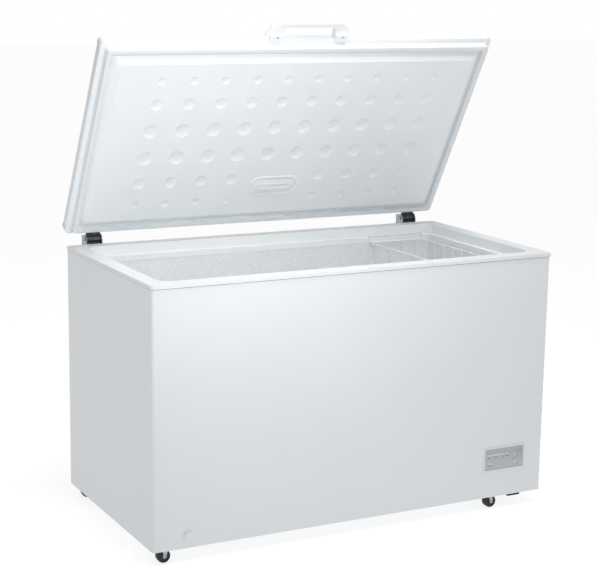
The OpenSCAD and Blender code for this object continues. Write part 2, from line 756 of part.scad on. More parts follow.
module tab_spots(grow) {
    for (s = [-1, 1]) translate([s * 107.4 - 8 - grow, -354, skin_z + 9 - grow])
        cube([16 + 2 * grow, 22, 2 + 2 * grow]);
}

module leaf_screw_at() {
    for (s = [-1, 1]) for (e = [-1, 1])
        translate([s * hinge_x + e * (leaf_w / 2 - 9), leaf_y, skin_z + 13]) rotate([90, 0, 0]) children();
}

module lid_skin() color([0.95, 0.95, 0.95]) on_lid() difference() {
    rbox(lid_w, lid_d, skin_z, skin_top, cap_r, lid_cy);
    rbox(lid_w - 2, lid_d - 2, skin_z - 1, skin_top - 1, cap_r - 1, lid_cy);
    corner_zones(skin_z - 1, skin_top - 1, 32);
    tab_spots(0.3);
    leaf_screw_at() cylinder(d = 4, h = 6, center = true);
}

module lid_corner_caps() color([0.93, 0.93, 0.93]) on_lid() intersection() {
    difference() {
        rbox(lid_w + 2, lid_d + 2, skin_z, skin_top - 1, cap_r + 1, lid_cy);
        rbox(lid_w - 2, lid_d - 2, skin_z - 1, skin_top, cap_r - 1, lid_cy);
    }
    corner_zones(skin_z, skin_top - 1, 32);
}

// block that tapers from the gasket seat down to the plateau; its corners are cut to clear the mouth
module plateau(inset) {
    w0 = lid_w - 2 * slope_in - 2 * inset;
    d0 = lid_d - 2 * slope_in - 2 * inset;
    hull() for (c = [[0, plateau_cut], [plateau_cut, 0]]) {
        w = w0 - 2 * c[0];
        d = d0 - 2 * c[1];
        translate([-w / 2, lid_cy - d / 2, seat_z + inset]) cube([w, d, 0.5]);
        translate([-w / 2 + slope_run, lid_cy - d / 2 + slope_run, plate_z + inset])
            cube([w - 2 * slope_run, d - 2 * slope_run, 0.5]);
    }
}

// rows of dimples: distance from the lid's rear row, diameter, columns left out
DIMPLES = [[-219, 26.5, 0], [-140, 37, 0], [-48, 47, 0], [48, 47, 0], [138.5, 38, 1],
    [218, 26.5, 1]];

module dimples(grow) {
    for (row = DIMPLES) for (i = [-4.5 : 4.5]) if (row[2] == 0 || abs(i) > 1) {
        h = 1.6 + row[1] * 0.05;
        r = (row[1] * row[1] / 4 + h * h) / (2 * h);
        translate([i * 100, row[0], plate_z + h - r]) sphere(r = r + grow);
    }
}

module lamp_slot(l, w, z0, z1) {
    translate([0, lamp_y, 0]) slot(l, w, z0, z1);
}

module lid_liner() color([0.96, 0.96, 0.96]) on_lid() difference() {
    union() {
        rbox(lid_w - 2, lid_d - 2, skin_z - lid_t, skin_z, cap_r - 1, lid_cy);
        rbox(lid_w - 2 * seat_in, lid_d - 2 * seat_in, seat_z, skin_z, seat_r, lid_cy);
        plateau(0);
    }
    rbox(lid_w - 2 * seat_in - 2 * lid_t, lid_d - 2 * seat_in - 2 * lid_t, seat_z + lid_t,
        skin_z + 1, seat_r - lid_t, lid_cy);
    difference() {
        plateau(lid_t);
        intersection() {
            dimples(lid_t);
            translate([-500, -300, plate_z]) cube([1000, 600, 12]);
        }
    }
    dimples(0);
    lamp_slot(lamp_l - 12, lamp_w - 12, plate_z - 5, plate_z + 10);
}

module lid_foam() color([0.93, 0.88, 0.7]) on_lid() difference() {
    union() {
        rbox(lid_w - 2, lid_d - 2, skin_z, skin_top - 1, cap_r - 1, lid_cy);
        rbox(lid_w - 2 * seat_in - 2 * lid_t, lid_d - 2 * seat_in - 2 * lid_t, seat_z + lid_t,
            skin_z + 1, seat_r - lid_t, lid_cy);
        plateau(lid_t);
    }
    dimples(lid_t);
    lamp_slot(lamp_l - 12, lamp_w - 12, plate_z - 5, plate_z + 22);
    translate([-126, lid_cy - lid_d / 2 + 1, skin_z + 2]) cube([252, 1.6, 18]);
    leaf_screw_at() cylinder(d = 4, h = 30, center = true);
}

module lid_gasket() color([0.9, 0.9, 0.9]) on_lid() {
    o = seat_in + 0.5;
    ring(lid_w - 2 * o, lid_d - 2 * o, seat_r - 1, lid_w - 2 * o - 2 * gasket_w, lid_d - 2 * o
        - 2 * gasket_w, 4, rim_top + gasket_gap + 3, seat_z, lid_cy);
    ring(lid_w - 2 * o - 5, lid_d - 2 * o - 5, seat_r - 3, lid_w - 2 * o - 2 * gasket_w + 5,
        lid_d - 2 * o - 2 * gasket_w + 5, 6, rim_top + gasket_gap, rim_top + gasket_gap + 4,
        lid_cy);
}

module lid_handle() color([0.96, 0.96, 0.96]) on_lid() difference() {
    y0 = lid_cy - lid_d / 2;
    y1 = y0 - grip_out;
    hw = handle_w / 2;
    hg = grip_w / 2;
    union() {
        translate([0, 0, skin_z + 3]) linear_extrude(skin_top - skin_z - 5) difference() {
            polygon([[-hw, y0], [-hw + 7, y0 - 14], [-hw + 20, y0 - 32], [-hw + 34, y0 - 46],
                [-hg, y1], [hg, y1], [hw - 34, y0 - 46], [hw - 20, y0 - 32], [hw - 7, y0 - 14],
                [hw, y0]]);
            polygon([[-85, y0 + 1], [-83, y0 - 20], [-73, y1 + grip_t], [73, y1 + grip_t],
                [83, y0 - 20], [85, y0 + 1]]);
        }
        for (s = [-1, 1]) translate([s * 107.4, y0, skin_z - 8]) {
            translate([-22, -18, 0]) cube([44, 18, 12]);
            translate([-22, -18, 0]) cube([44, 25, 8 - lid_t]);
        }
    }
    tab_spots(0.3);
    for (s = [-1, 1]) translate([s * 107.4, -344.7, skin_z - 10]) {
        cylinder(d = 7, h = 5);
        cylinder(d = 3.5, h = 22);
    }
}

module handle_bracket() color([0.6, 0.61, 0.62]) on_lid() difference() {
    union() {
        translate([-125, lid_cy - lid_d / 2 + 1, skin_z + 2]) cube([250, 1.6, 18]);
        tab_spots(0);
    }
    for (s = [-1, 1]) translate([s * 107.4, -344.7, skin_z]) cylinder(d = 3.5, h = 20);
    translate([-200, lid_cy - lid_d / 2 + 2.6, skin_z]) cube([400, 50, 24]);
}

module handle_screws() color([0.4, 0.41, 0.42]) on_lid() for (s = [-1, 1])
    translate([s * 107.4, -344.7, skin_z - 7.5]) {
        cylinder(d = 6.6, h = 2.5);
        cylinder(d = 3.5, h = 19);
    }

module lamp_lens() color([0.97, 0.97, 0.97]) on_lid() difference() {
    union() {
        lamp_slot(lamp_l, lamp_w, plate_z - 2.4, plate_z);
        lamp_slot(lamp_l - 12.4, lamp_w - 12.4, plate_z - 2, plate_z + 7);
        for (k = [-1, 0, 1]) translate([-50, lamp_y + k * 15 - 2.5, plate_z - 4.4])
            cube([100, 5, 3]);
    }
    lamp_slot(lamp_l - 17, lamp_w - 17, plate_z, plate_z + 12);
}

module lamp_holder() color([0.9, 0.9, 0.9]) on_lid() difference() {
    lamp_slot(lamp_l - 12, lamp_w - 12, plate_z + 7, plate_z + 22);
    lamp_slot(lamp_l - 16, lamp_w - 16, plate_z + 6, plate_z + 20);
}

module lamp_board() color([0.85, 0.87, 0.8]) on_lid() {
    translate([-55, lamp_y - 14, plate_z + 18.4]) cube([110, 28, 1.6]);
    for (i = [-2 : 2]) translate([i * 22 - 3, lamp_y - 3, plate_z + 17.2]) cube([6, 6, 1.4]);
}

module hinge_leaves() color([0.2, 0.21, 0.22]) on_lid() difference() {
    at_hinges() difference() {
        union() {
            translate([-leaf_w / 2, leaf_y, pivot_z + 6]) cube([leaf_w, 2.4, 30]);
            translate([-leaf_w / 2, leaf_y, pivot_z + 4]) cube([leaf_w, 17, 3]);
            translate([-leaf_w / 2, pivot_y, pivot_z]) rotate([0, 90, 0]) cylinder(r = 9, h = leaf_w);
        }
        translate([-leaf_w / 2 - 1, pivot_y, pivot_z]) rotate([0, 90, 0])
            cylinder(r = 4 + run_c, h = leaf_w + 2);
    }
    leaf_screw_at() cylinder(d = 4, h = 12, center = true);
}

module leaf_screws() color([0.7, 0.7, 0.72]) on_lid() leaf_screw_at() {
    translate([0, 0, -4.6]) cylinder(d = 8, h = 2.2);
    translate([0, 0, -4.6]) cylinder(d = 4, h = 19.6);
}

// ---- basket ----------------------------------------------------------------

module basket() color([0.97, 0.97, 0.97]) translate([basket_x, 0, 0]) {
    hw = basket_w / 2 - frame_wire / 2;
    yb = 270;
    zf = ledge_z - 16;
    zh = ledge_z + frame_wire / 2 + 0.3;
    yh = mouth_d / 2 - 4.5;
    zb = zf - basket_h;
    k = frame_wire / 2 + thin_wire / 2 - 0.6;
    run([[0, -yb, zf], [hw, -yb, zf], [hw, yb, zf], [-hw, yb, zf], [-hw, -yb, zf], [0, -yb, zf]],
        frame_wire);
    for (s = [-1, 1]) run([[-hw, s * yb, zf], [-hw, s * yb, zh], [-hw, s * yh, zh],
        [hw, s * yh, zh], [hw, s * yb, zh], [hw, s * yb, zf]], frame_wire);
    for (i = [-1.5 : 1.5]) run([[i * 48.8, -yb + k, zf + 1], [i * 48.8, -yb + k, zb],
        [i * 48.8, yb - k, zb], [i * 48.8, yb - k, zf + 1]], thin_wire);
    for (j = [-4.5 : 4.5]) run([[-hw + k, j * 53, zf + 1], [-hw + k, j * 53, zb + 2.6],
        [hw - k, j * 53, zb + 2.6], [hw - k, j * 53, zf + 1]], thin_wire);
}

cabinet_wrap();
back_panel();
base_panel();
cabinet_foam();
inner_liner();
rim_frame();
evaporator_tube();
condenser_tube();
compressor_shell();
compressor_mounts();
compressor_tray();
tray_block();
relay_box();
filter_drier();
suction_line();
discharge_line();
liquid_line();
capillary_tube();
rear_vent_grille();
grille_screws();
cord_gland();
panel_bezel();
panel_faceplate();
control_board();
indicator_lenses();
button_upper();
button_lower();
drain_pipe();
drain_cap();
drain_plug();
caster_plates();
caster_bolts();
caster_fork_fl();
caster_fork_fr();
caster_fork_rl();
caster_fork_rr();
caster_wheel_fl();
caster_wheel_fr();
caster_wheel_rl();
caster_wheel_rr();
hinge_bases();
hinge_pins();
hinge_springs();
hinge_plungers();
hinge_screws();
lid_skin();
lid_corner_caps();
lid_foam();
lid_liner();
lid_gasket();
lid_handle();
handle_bracket();
handle_screws();
lamp_lens();
lamp_holder();
lamp_board();
hinge_leaves();
leaf_screws();
basket();
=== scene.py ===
import json
import math

import bmesh
import bpy
import numpy as np
from bpy.props import FloatProperty, FloatVectorProperty, IntProperty, PointerProperty
from mathutils import Matrix, Vector


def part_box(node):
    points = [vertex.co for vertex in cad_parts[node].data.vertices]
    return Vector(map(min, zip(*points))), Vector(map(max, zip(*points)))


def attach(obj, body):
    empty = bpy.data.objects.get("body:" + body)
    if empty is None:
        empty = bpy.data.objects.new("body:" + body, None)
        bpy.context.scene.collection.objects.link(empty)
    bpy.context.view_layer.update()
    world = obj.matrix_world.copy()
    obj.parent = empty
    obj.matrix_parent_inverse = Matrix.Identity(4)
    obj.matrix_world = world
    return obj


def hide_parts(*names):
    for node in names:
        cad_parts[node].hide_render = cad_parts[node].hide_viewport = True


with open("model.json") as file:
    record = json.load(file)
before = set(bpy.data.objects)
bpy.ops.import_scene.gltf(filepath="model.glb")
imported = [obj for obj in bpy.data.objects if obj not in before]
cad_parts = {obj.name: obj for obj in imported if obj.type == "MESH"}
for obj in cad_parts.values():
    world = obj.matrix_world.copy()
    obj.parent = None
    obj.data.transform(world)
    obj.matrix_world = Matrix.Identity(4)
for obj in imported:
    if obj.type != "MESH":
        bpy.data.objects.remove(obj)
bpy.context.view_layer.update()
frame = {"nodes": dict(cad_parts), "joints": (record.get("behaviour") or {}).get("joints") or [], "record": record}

bl_info = {
    "name": "Chest freezer",
    "version": (1, 0, 0),
    "blender": (4, 5, 0),
    "location": "View3D > Sidebar > Freezer",
    "description": "Builds the visible pieces and finishes of a chest freezer round its frame",
    "category": "Add Mesh",
}

MM = 0.001
EDGE_ANGLE = math.radians(38)  # an edge that turns more than this is rounded and shaded crisp

# ---- places taken from the frame --------------------------------------------

JOINTS = {joint["name"]: joint for joint in frame["joints"]}
PIVOT = np.array(JOINTS["lid_hinge"]["pos_m"])
LID_OPEN = math.radians(JOINTS["lid_hinge"]["range_deg"][1])
PRESS = np.array(JOINTS["upper_button_press"]["axis"])
PANEL_OUT = -PRESS
PANEL_UP = np.array([0.0, -PRESS[2], PRESS[1]])


def corners(node):
    """Lowest and highest corner of a CAD node at rest, as two numpy rows."""
    low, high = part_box(node)
    return np.array(low), np.array(high)


def turn_lid(points, angle):
    """Points turned by angle round the hinge axis, which runs along X through PIVOT."""
    y, z = points[:, 1] - PIVOT[1], points[:, 2] - PIVOT[2]
    c, s = math.cos(angle), math.sin(angle)
    return np.column_stack([points[:, 0], PIVOT[1] + c * y - s * z, PIVOT[2] + s * y + c * z])


def closed_corners(node):
    """Lowest and highest corner of a lid node after its lid is turned shut."""
    mesh = frame["nodes"][node].data
    points = np.empty(len(mesh.vertices) * 3)
    mesh.vertices.foreach_get("co", points)
    shut = turn_lid(points.reshape(-1, 3), LID_OPEN)
    return shut.min(0), shut.max(0)


def plan(low, high):
    """Width, depth and middle along Y of a box seen from above."""
    return high[0] - low[0], high[1] - low[1], (high[1] + low[1]) / 2


def opened(shape):
    """A shape drawn for the closed lid, moved to where the open lid is."""
    points, faces = shape
    return turn_lid(np.asarray(points), -LID_OPEN), faces


# ---- shapes: each is an array of points and a list of faces -------------------


def grid_faces(rows, cols, wrap_rows=False, wrap_cols=False):
    """Four-sided faces between the neighbours of a rows x cols grid, closed round where asked."""
    r = np.arange(rows if wrap_rows else rows - 1)[:, None]
    c = np.arange(cols if wrap_cols else cols - 1)[None, :]
    r2, c2 = (r + 1) % rows, (c + 1) % cols
    quads = [r * cols + c, r * cols + c2, r2 * cols + c2, r2 * cols + c]
    return np.stack(quads, -1).reshape(-1, 4).tolist()


def join(*shapes):
    """One shape from several, each one's faces counted on from the points before it."""
    points, faces, start = [], [], 0
    for these, those in shapes:
        points.append(these)
        faces += [[i + start for i in face] for face in those]
        start += len(these)
    return np.concatenate(points), faces


def rounded(w, d, r, z=0.0, cy=0.0, arc=8):
    """Rounded rectangle seen from above: four quarter circles of arc + 1 points each."""
    quarter = np.linspace(0, math.pi / 2, arc + 1)
    signs = np.array([[1, 1], [-1, 1], [-1, -1], [1, -1]])
    turns = quarter[None, :] + np.arange(4)[:, None] * math.pi / 2
    x = signs[:, :1] * (w / 2 - r) + r * np.cos(turns)
    y = cy + signs[:, 1:] * (d / 2 - r) + r * np.sin(turns)
    return np.column_stack([x.ravel(), y.ravel(), np.full(x.size, z)])


def loft(rings, closed=False):
    """Skin over rings of equal point count; the end rings become flat faces unless it closes."""
    count = len(rings[0])
    faces = grid_faces(len(rings), count, wrap_rows=closed, wrap_cols=True)
    if not closed:
        last = (len(rings) - 1) * count
        faces += [list(range(count))[::-1], list(range(last, last + count))]
    return np.concatenate(rings), faces


def carry(w, d, r, profile, cy=0.0, closed=False, arc=8):
    """A profile of (inset, height) rows carried round a rounded rectangle of radius r."""
    rings = [rounded(w - 2 * u, d - 2 * u, max(r - u, 0.5 * MM), z, cy, arc) for u, z in profile]
    return loft(rings, closed)


def bend(points, radius, arc=6):
    """A path whose inner corners are arcs, tangent to both legs radius x tan(turn / 2) away."""
    points = np.asarray(points, float)
    path = [points[:1]]
    for before, corner, after in zip(points[:-2], points[1:-1], points[2:]):
        a, b = before - corner, after - corner
        a, b = a / np.linalg.norm(a), b / np.linalg.norm(b)
        turn = math.pi - math.acos(np.clip(a @ b, -1, 1))
        reach = radius * math.tan(turn / 2)
        middle = (a + b) / np.linalg.norm(a + b)
        centre = corner + middle * radius / math.cos(turn / 2)
        u, v = corner + a * reach - centre, corner + b * reach - centre
        t = np.linspace(0, 1, arc + 1)[:, None]
        path.append(centre + (np.sin((1 - t) * turn) * u + np.sin(t * turn) * v) / math.sin(turn))
    path.append(points[-1:])
    return np.concatenate(path)


def tube(path, radius, across, sides=12):
    """Round wire: a circle across the path at each point, square to a direction it never takes."""
    along = np.gradient(path, axis=0)
    along /= np.linalg.norm(along, axis=1)[:, None]
    side = np.cross(along, across)
    side /= np.linalg.norm(side, axis=1)[:, None]
    other = np.cross(along, side)
    turn = np.linspace(0, 2 * math.pi, sides, endpoint=False)[None, :, None]
    rings = path[:, None] + radius * (np.cos(turn) * side[:, None] + np.sin(turn) * other[:, None])
    return loft(list(rings))


def lathe(profile, origin, axis, sides=48):
    """Surface of revolution: each profile row is (radius, distance along the axis)."""
    axis = np.asarray(axis, float) / np.linalg.norm(axis)
    u = np.cross(axis, [0.0, 0.0, 1.0] if abs(axis[2]) < 0.9 else [1.0, 0.0, 0.0])
    u /= np.linalg.norm(u)
    v = np.cross(axis, u)
    turn = np.linspace(0, 2 * math.pi, sides, endpoint=False)[None, :, None]
    r, h = np.asarray(profile, float).T[:, :, None, None]
    points = np.asarray(origin) + h * axis + r * (np.cos(turn) * u + np.sin(turn) * v)
    return points.reshape(-1, 3), grid_faces(len(profile), sides, wrap_cols=True)


def finish_mesh(mesh, angle):
    """Smooth shading, with edges that turn more than the angle left crisp."""
    mesh.shade_smooth()
    mesh.set_sharp_from_angle(angle=angle)


def place(mesh, name, body, slot, maker, nodes, bevel, segments=3):
    """Puts a mesh in the scene as a piece, in the maker's finish or else its slot's own."""
    piece = bpy.data.objects.new(name, mesh)
    bpy.context.scene.collection.objects.link(piece)
    mesh.materials.clear()
    mesh.materials.append(made(maker or FINISH_OF_SLOT[slot]))
    if bevel:
        rounding = piece.modifiers.new("rounded_edges", "BEVEL")
        rounding.width = bevel
        rounding.segments = segments
        rounding.limit_method = "ANGLE"
        rounding.angle_limit = EDGE_ANGLE
        rounding.harden_normals = True
    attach(piece, body)
    if nodes:
        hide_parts(*nodes)


def new_piece(name, shape, body, slot, nodes=(), maker=None, bevel=0.0, smooth_below=35):
    """A closed piece from a shape, its faces turned outwards; see place."""
    points, faces = shape
    mesh = bpy.data.meshes.new(name)
    mesh.from_pydata(np.asarray(points).tolist(), [], faces)
    work = bmesh.new()
    work.from_mesh(mesh)
    bmesh.ops.remove_doubles(work, verts=work.verts, dist=1e-6)
    bmesh.ops.recalc_face_normals(work, faces=work.faces)
    work.to_mesh(mesh)
    work.free()
    finish_mesh(mesh, math.radians(smooth_below))
    place(mesh, name, body, slot, maker, nodes, bevel)


def softened(name, node, body, slot, bevel, segments=3, maker=None):
    """A copy of a CAD node with its triangles joined into whole faces and its edges rounded."""
    mesh = frame["nodes"][node].data.copy()
    mesh.name = name
    work = bmesh.new()
    work.from_mesh(mesh)
    bmesh.ops.remove_doubles(work, verts=work.verts, dist=5e-6)
    flat = math.radians(0.6)
    bmesh.ops.dissolve_limit(work, angle_limit=flat, verts=work.verts, edges=work.edges)
    work.to_mesh(mesh)
    work.free()
    if "custom_normal" in mesh.attributes:
        mesh.attributes.remove(mesh.attributes["custom_normal"])
    finish_mesh(mesh, EDGE_ANGLE)
    place(mesh, name, body, slot, maker, (node,), bevel, segments)


# ---- material helpers ---------------------------------------------------------


def linear(colour):
    """Linear RGB with alpha from an sRGB colour written as a hex string."""
    channels = [int(colour[i : i + 2], 16) / 255 for i in (0, 2, 4)]
    return (*[c / 12.92 if c <= 0.04045 else ((c + 0.055) / 1.055) ** 2.4 for c in channels], 1.0)


def add(tree, kind, settings=(), links=()):
    """Adds a shader node, sets its properties or inputs by name and links its inputs."""
    node = tree.nodes.new("ShaderNode" + kind)
    for name, value in dict(settings).items():
        if isinstance(name, int) or name in node.inputs:
            node.inputs[name].default_value = value
        else:
            setattr(node, name, value)
    for name, socket in dict(links).items():
        tree.links.new(socket, node.inputs[name])
    return node


def blank(name, **settings):
    """A material with one glossy surface shader, and its tree, shader and place on the piece."""
    material = bpy.data.materials.new(name)
    material.use_nodes = True
    tree = material.node_tree
    tree.nodes.clear()
    place_on_piece = add(tree, "TexCoord").outputs["Object"]
    shader = add(tree, "BsdfPrincipled", {k.replace("_", " "): v for k, v in settings.items()})
    add(tree, "OutputMaterial", links={"Surface": shader.outputs["BSDF"]})
    return material, tree, shader, place_on_piece


def mottle(tree, where, size, low, high, detail=3.0):
    """A number that wanders between low and high over patches of about size metres."""
    noise = add(tree, "TexNoise", {"Scale": 1 / size, "Detail": detail}, {"Vector": where})
    limits = {1: 0.3, 2: 0.7, 3: low, 4: high}
    spread = add(tree, "MapRange", limits, {0: noise.outputs["Fac"]})
    return spread.outputs["Result"]


def two_tones(tree, factor, first, second):
    """A colour between two others by factor, each a hex string or linear RGBA."""
    ends = [linear(end) if isinstance(end, str) else end for end in (first, second)]
    mix = add(tree, "Mix", {"data_type": "RGBA", 6: ends[0], 7: ends[1]}, {0: factor})
    return mix.outputs[2]


def shades(name, spread):
    """A darker and a lighter RGBA, spread apart from one of the scene's freezer colours."""
    colour = getattr(bpy.context.scene.freezer_colours, name)
    return [(*[min(c * k, 1.0) for c in colour], 1.0) for k in (1 - spread, 1 + spread)]


def relief(tree, height, depth, strength=1.0):
    """A bumped normal from a height between 0 and 1, depth metres deep."""
    settings = {"Distance": depth, "Strength": strength}
    return add(tree, "Bump", settings, {"Height": height}).outputs["Normal"]


def connect(tree, shader, **sockets):
    """Joins sockets to the shader's inputs, named with underscores for spaces."""
    for name, socket in sockets.items():
        tree.links.new(socket, shader.inputs[name.replace("_", " ")])


# ---- materials: each function makes one finish ----------------------------------


def plain_finish(name, tones, patch, dull, grain=None, **settings):
    """A finish whose tone, roughness and relief each wander over patches of their own size.

    In order: two colours and their patch in mm, then roughness as (patch in mm, lowest, highest)
    and relief, where there is any, as (patch in mm, detail, depth in mm, strength).
    """
    material, tree, shader, where = blank(name, **settings)
    tone = mottle(tree, where, patch * MM, 0, 1)
    rough = mottle(tree, where, dull[0] * MM, *dull[1:])
    connect(tree, shader, Base_Color=two_tones(tree, tone, *tones), Roughness=rough)
    if grain:
        size, detail, depth, strength = grain
        height = mottle(tree, where, size * MM, 0, 1, detail)
        connect(tree, shader, Normal=relief(tree, height, depth * MM, strength))
    return material


def baked_enamel_sheet():
    """Steel sheet with baked white paint: glossy, with the faint orange peel of a roller coat."""
    return plain_finish(
        "white_baked_enamel_steel",
        shades("enamel", 0.01),
        260,
        (40, 0.30, 0.38),
        (3.5, 1.0, 0.02, 0.5),
        Coat_Weight=0.25,
        Coat_Roughness=0.12,
    )


def white_polystyrene():
    """Thermoformed high-impact polystyrene: white, half gloss, with slight thinning marks."""
    return plain_finish(
        "white_formed_polystyrene", shades("liner", 0.012), 120,
        (30, 0.34, 0.44), (1.6, 1.0, 0.015, 0.4), IOR=1.55,
    )


def white_moulded_abs():
    """Injection-moulded ABS: white with a fine spark-eroded grain that dulls the highlights."""
    return plain_finish(
        "white_moulded_abs", shades("moulding", 0.012), 60,
        (8, 0.36, 0.46), (1.2, 2.0, 0.03, 0.5), IOR=1.54,
    )


def stucco_aluminium():
    """Stucco-embossed aluminium: small rolled-in pits, drawn 7 mm apart, that sparkle in grey."""
    material, tree, shader, where = blank("stucco_embossed_aluminium", Metallic=0.2)
    settings = {"Scale": 1 / (7 * MM), "feature": "SMOOTH_F1"}
    pits = add(tree, "TexVoronoi", settings, {"Vector": where})
    pits.inputs["Smoothness"].default_value = 0.35
    flakes = mottle(tree, where, 6 * MM, 0, 1, 2.0)
    connect(
        tree, shader,
        Base_Color=two_tones(tree, flakes, *shades("tub", 0.05)),
        Roughness=mottle(tree, where, 12 * MM, 0.38, 0.55),
        Normal=relief(tree, pits.outputs["Distance"], 0.9 * MM, 0.8),
    )
    return material


def soft_pvc():
    """Extruded soft PVC of the gasket: dull white with faint lines of dust along the pleats."""
    return plain_finish(
        "white_soft_pvc_gasket", shades("gasket", 0.02), 45,
        (15, 0.5, 0.62), (2, 3.0, 0.03, 0.4), IOR=1.53,
    )


def opal_lamp_cover():
    """Moulded polycarbonate filled to opal white: smoother and a touch cooler than the liner."""
    return plain_finish(
        "opal_polycarbonate", ("ECEEF0", "F5F6F6"), 50,
        (10, 0.28, 0.38), (1.5, 1.0, 0.02, 0.4), IOR=1.58,
    )


def galvanised_sheet():
    """Hot-dip galvanised steel: dull grey with zinc crystals about 14 mm across."""
    material, tree, shader, where = blank("galvanised_steel_sheet", Metallic=0.9)
    crystals = add(tree, "TexVoronoi", {"Scale": 1 / (14 * MM)}, {"Vector": where})
    shade = add(tree, "SeparateColor", links={"Color": crystals.outputs["Color"]})
    connect(
        tree, shader,
        Base_Color=two_tones(tree, shade.outputs["Red"], "A9ADB1", "C3C6C9"),
        Roughness=mottle(tree, where, 20 * MM, 0.38, 0.52),
        Normal=relief(tree, shade.outputs["Green"], 0.02 * MM, 0.3),
    )
    return material


def foamed_urethane():
    """Poured rigid polyurethane foam: pale straw, with open cells drawn 2 mm across."""
    material, tree, shader, where = blank("rigid_urethane_foam")
    cells = add(tree, "TexVoronoi", {"Scale": 1 / (2 * MM)}, {"Vector": where})
    connect(
        tree, shader,
        Base_Color=two_tones(tree, mottle(tree, where, 30 * MM, 0, 1), "E4D6A4", "F0E6C0"),
        Roughness=mottle(tree, where, 10 * MM, 0.85, 0.95),
        Normal=relief(tree, cells.outputs["Distance"], 0.5 * MM, 0.7),
    )
    return material


def plated_steel():
    """Pressed steel, bright zinc plated: silver with soft cloudy patches from the bath."""
    return plain_finish(
        "zinc_plated_steel", ("9DA1A5", "BEC1C4"), 9,
        (6, 0.26, 0.42), (1.5, 3.0, 0.02, 0.4), Metallic=1.0,
    )


def dark_steel():
    """Oil-blackened spring steel: near black, with a low sheen and greyer rubbed patches."""
    return plain_finish(
        "oil_blackened_steel", ("4B4F53", "71767B"), 7,
        (5, 0.35, 0.55), (1.2, 3.0, 0.02, 0.4), Metallic=0.7,
    )


def drawn_copper():
    """Drawn copper tube: brown red where it has tarnished and pinker where it was handled."""
    return plain_finish(
        "drawn_copper_tube", ("9A5B3C", "C98A66"), 18, (12, 0.25, 0.45), Metallic=1.0
    )


def flattened_aluminium():
    """Extruded aluminium tube rolled flat: pale grey with draw lines."""
    return plain_finish(
        "rolled_aluminium_tube", ("C2C4C8", "D9DBDD"), 14, (8, 0.3, 0.42), Metallic=1.0
    )


def black_stove_enamel():
    """Stoved black paint on the compressor and caster plates: half gloss with settled dust."""
    return plain_finish(
        "black_stoved_enamel", ("131315", "222225"), 12,
        (9, 0.32, 0.5), (2, 3.0, 0.03, 0.4), Coat_Weight=0.2,
    )


def painted_rim_shadow():
    """Dull mid grey of the thin strip under the rim: a painted shadow line for the shade in the seam below the
    rim's band.
    """
    return plain_finish("grey_foam_sealing_tape", ("7E8386", "94999C"), 20, (5, 0.75, 0.9))


def black_rubber():
    """Moulded rubber: matt black that greys where it is dusty."""
    return plain_finish(
        "black_moulded_rubber", ("161616", "242424"), 6,
        (4, 0.7, 0.85), (1, 3.0, 0.04, 0.5), IOR=1.52,
    )


def black_polypropylene():
    """Moulded black polypropylene: dull black with a fine leather-like grain."""
    return plain_finish(
        "black_polypropylene", ("18191B", "232427"), 10,
        (5, 0.5, 0.65), (1.5, 3.0, 0.05, 0.6), IOR=1.49,
    )


def silver_painted_abs(name="silver_painted_abs", colour="panel", spread=0.08):
    """ABS sprayed metallic grey: fine flakes that lift the tone a little as they turn."""
    material, tree, shader, where = blank(name, Metallic=0.25)
    flakes = mottle(tree, where, 1.2 * MM, 0, 1, 2.0)
    connect(
        tree, shader,
        Base_Color=two_tones(tree, flakes, *shades(colour, spread)),
        Roughness=mottle(tree, where, 6 * MM, 0.38, 0.5),
        Normal=relief(tree, flakes, 0.01 * MM, 0.3),
    )
    return material


def button_abs():
    """Moulded pale grey ABS of the push buttons: smoother and lighter than the plate."""
    return silver_painted_abs("pale_grey_moulded_abs", "button", 0.04)


def bezel_abs():
    """Moulded light grey ABS of the bezel: even and half gloss."""
    return silver_painted_abs("light_grey_moulded_abs", "bezel", 0.03)


def printed_ink():
    """Screen-printed dark grey ink: thin and even with slightly ragged density."""
    return plain_finish("dark_grey_printed_ink", ("3C4043", "4C5154"), 2, (2, 0.5, 0.6))


def clear_indicator():
    """Clear moulded acrylic over white: bright, glossy and a little blue."""
    return plain_finish(
        "frosted_acrylic_lens", ("E6EAED", "F4F6F8"), 3,
        (3, 0.12, 0.22), IOR=1.49, Coat_Weight=0.5,
    )


def solder_mask():
    """Green solder mask on a glass-fibre board: glossy, with the weave just showing."""
    material, tree, shader, where = blank("green_solder_mask", IOR=1.55)
    weave = add(tree, "TexChecker", {"Scale": 1 / (1.5 * MM)}, {"Vector": where})
    connect(
        tree, shader,
        Base_Color=two_tones(tree, weave.outputs["Fac"], "0E4A22", "13592B"),
        Roughness=mottle(tree, where, 4 * MM, 0.25, 0.35),
    )
    return material


def black_nylon_wheel():
    """Moulded black nylon tread: satin, with fine scuffs where it has rolled."""
    return plain_finish(
        "black_moulded_nylon", ("111214", "26272A"), 2.5,
        (3, 0.35, 0.55), (2.5, 3.0, 0.05, 0.5), IOR=1.53,
    )


def coated_wire():
    """Steel wire dipped in white polyethylene: glossy and slightly lumpy at the welds."""
    return plain_finish(
        "white_dip_coated_wire", ("F2F3F3", "FAFAFA"), 25,
        (8, 0.22, 0.34), (3, 3.0, 0.04, 0.5), IOR=1.51, Coat_Weight=0.3,
    )


def made(maker):
    """The material that a maker function makes, made only once."""
    if maker.__name__ not in MADE:
        MADE[maker.__name__] = maker()
    return MADE[maker.__name__]


MADE = {}

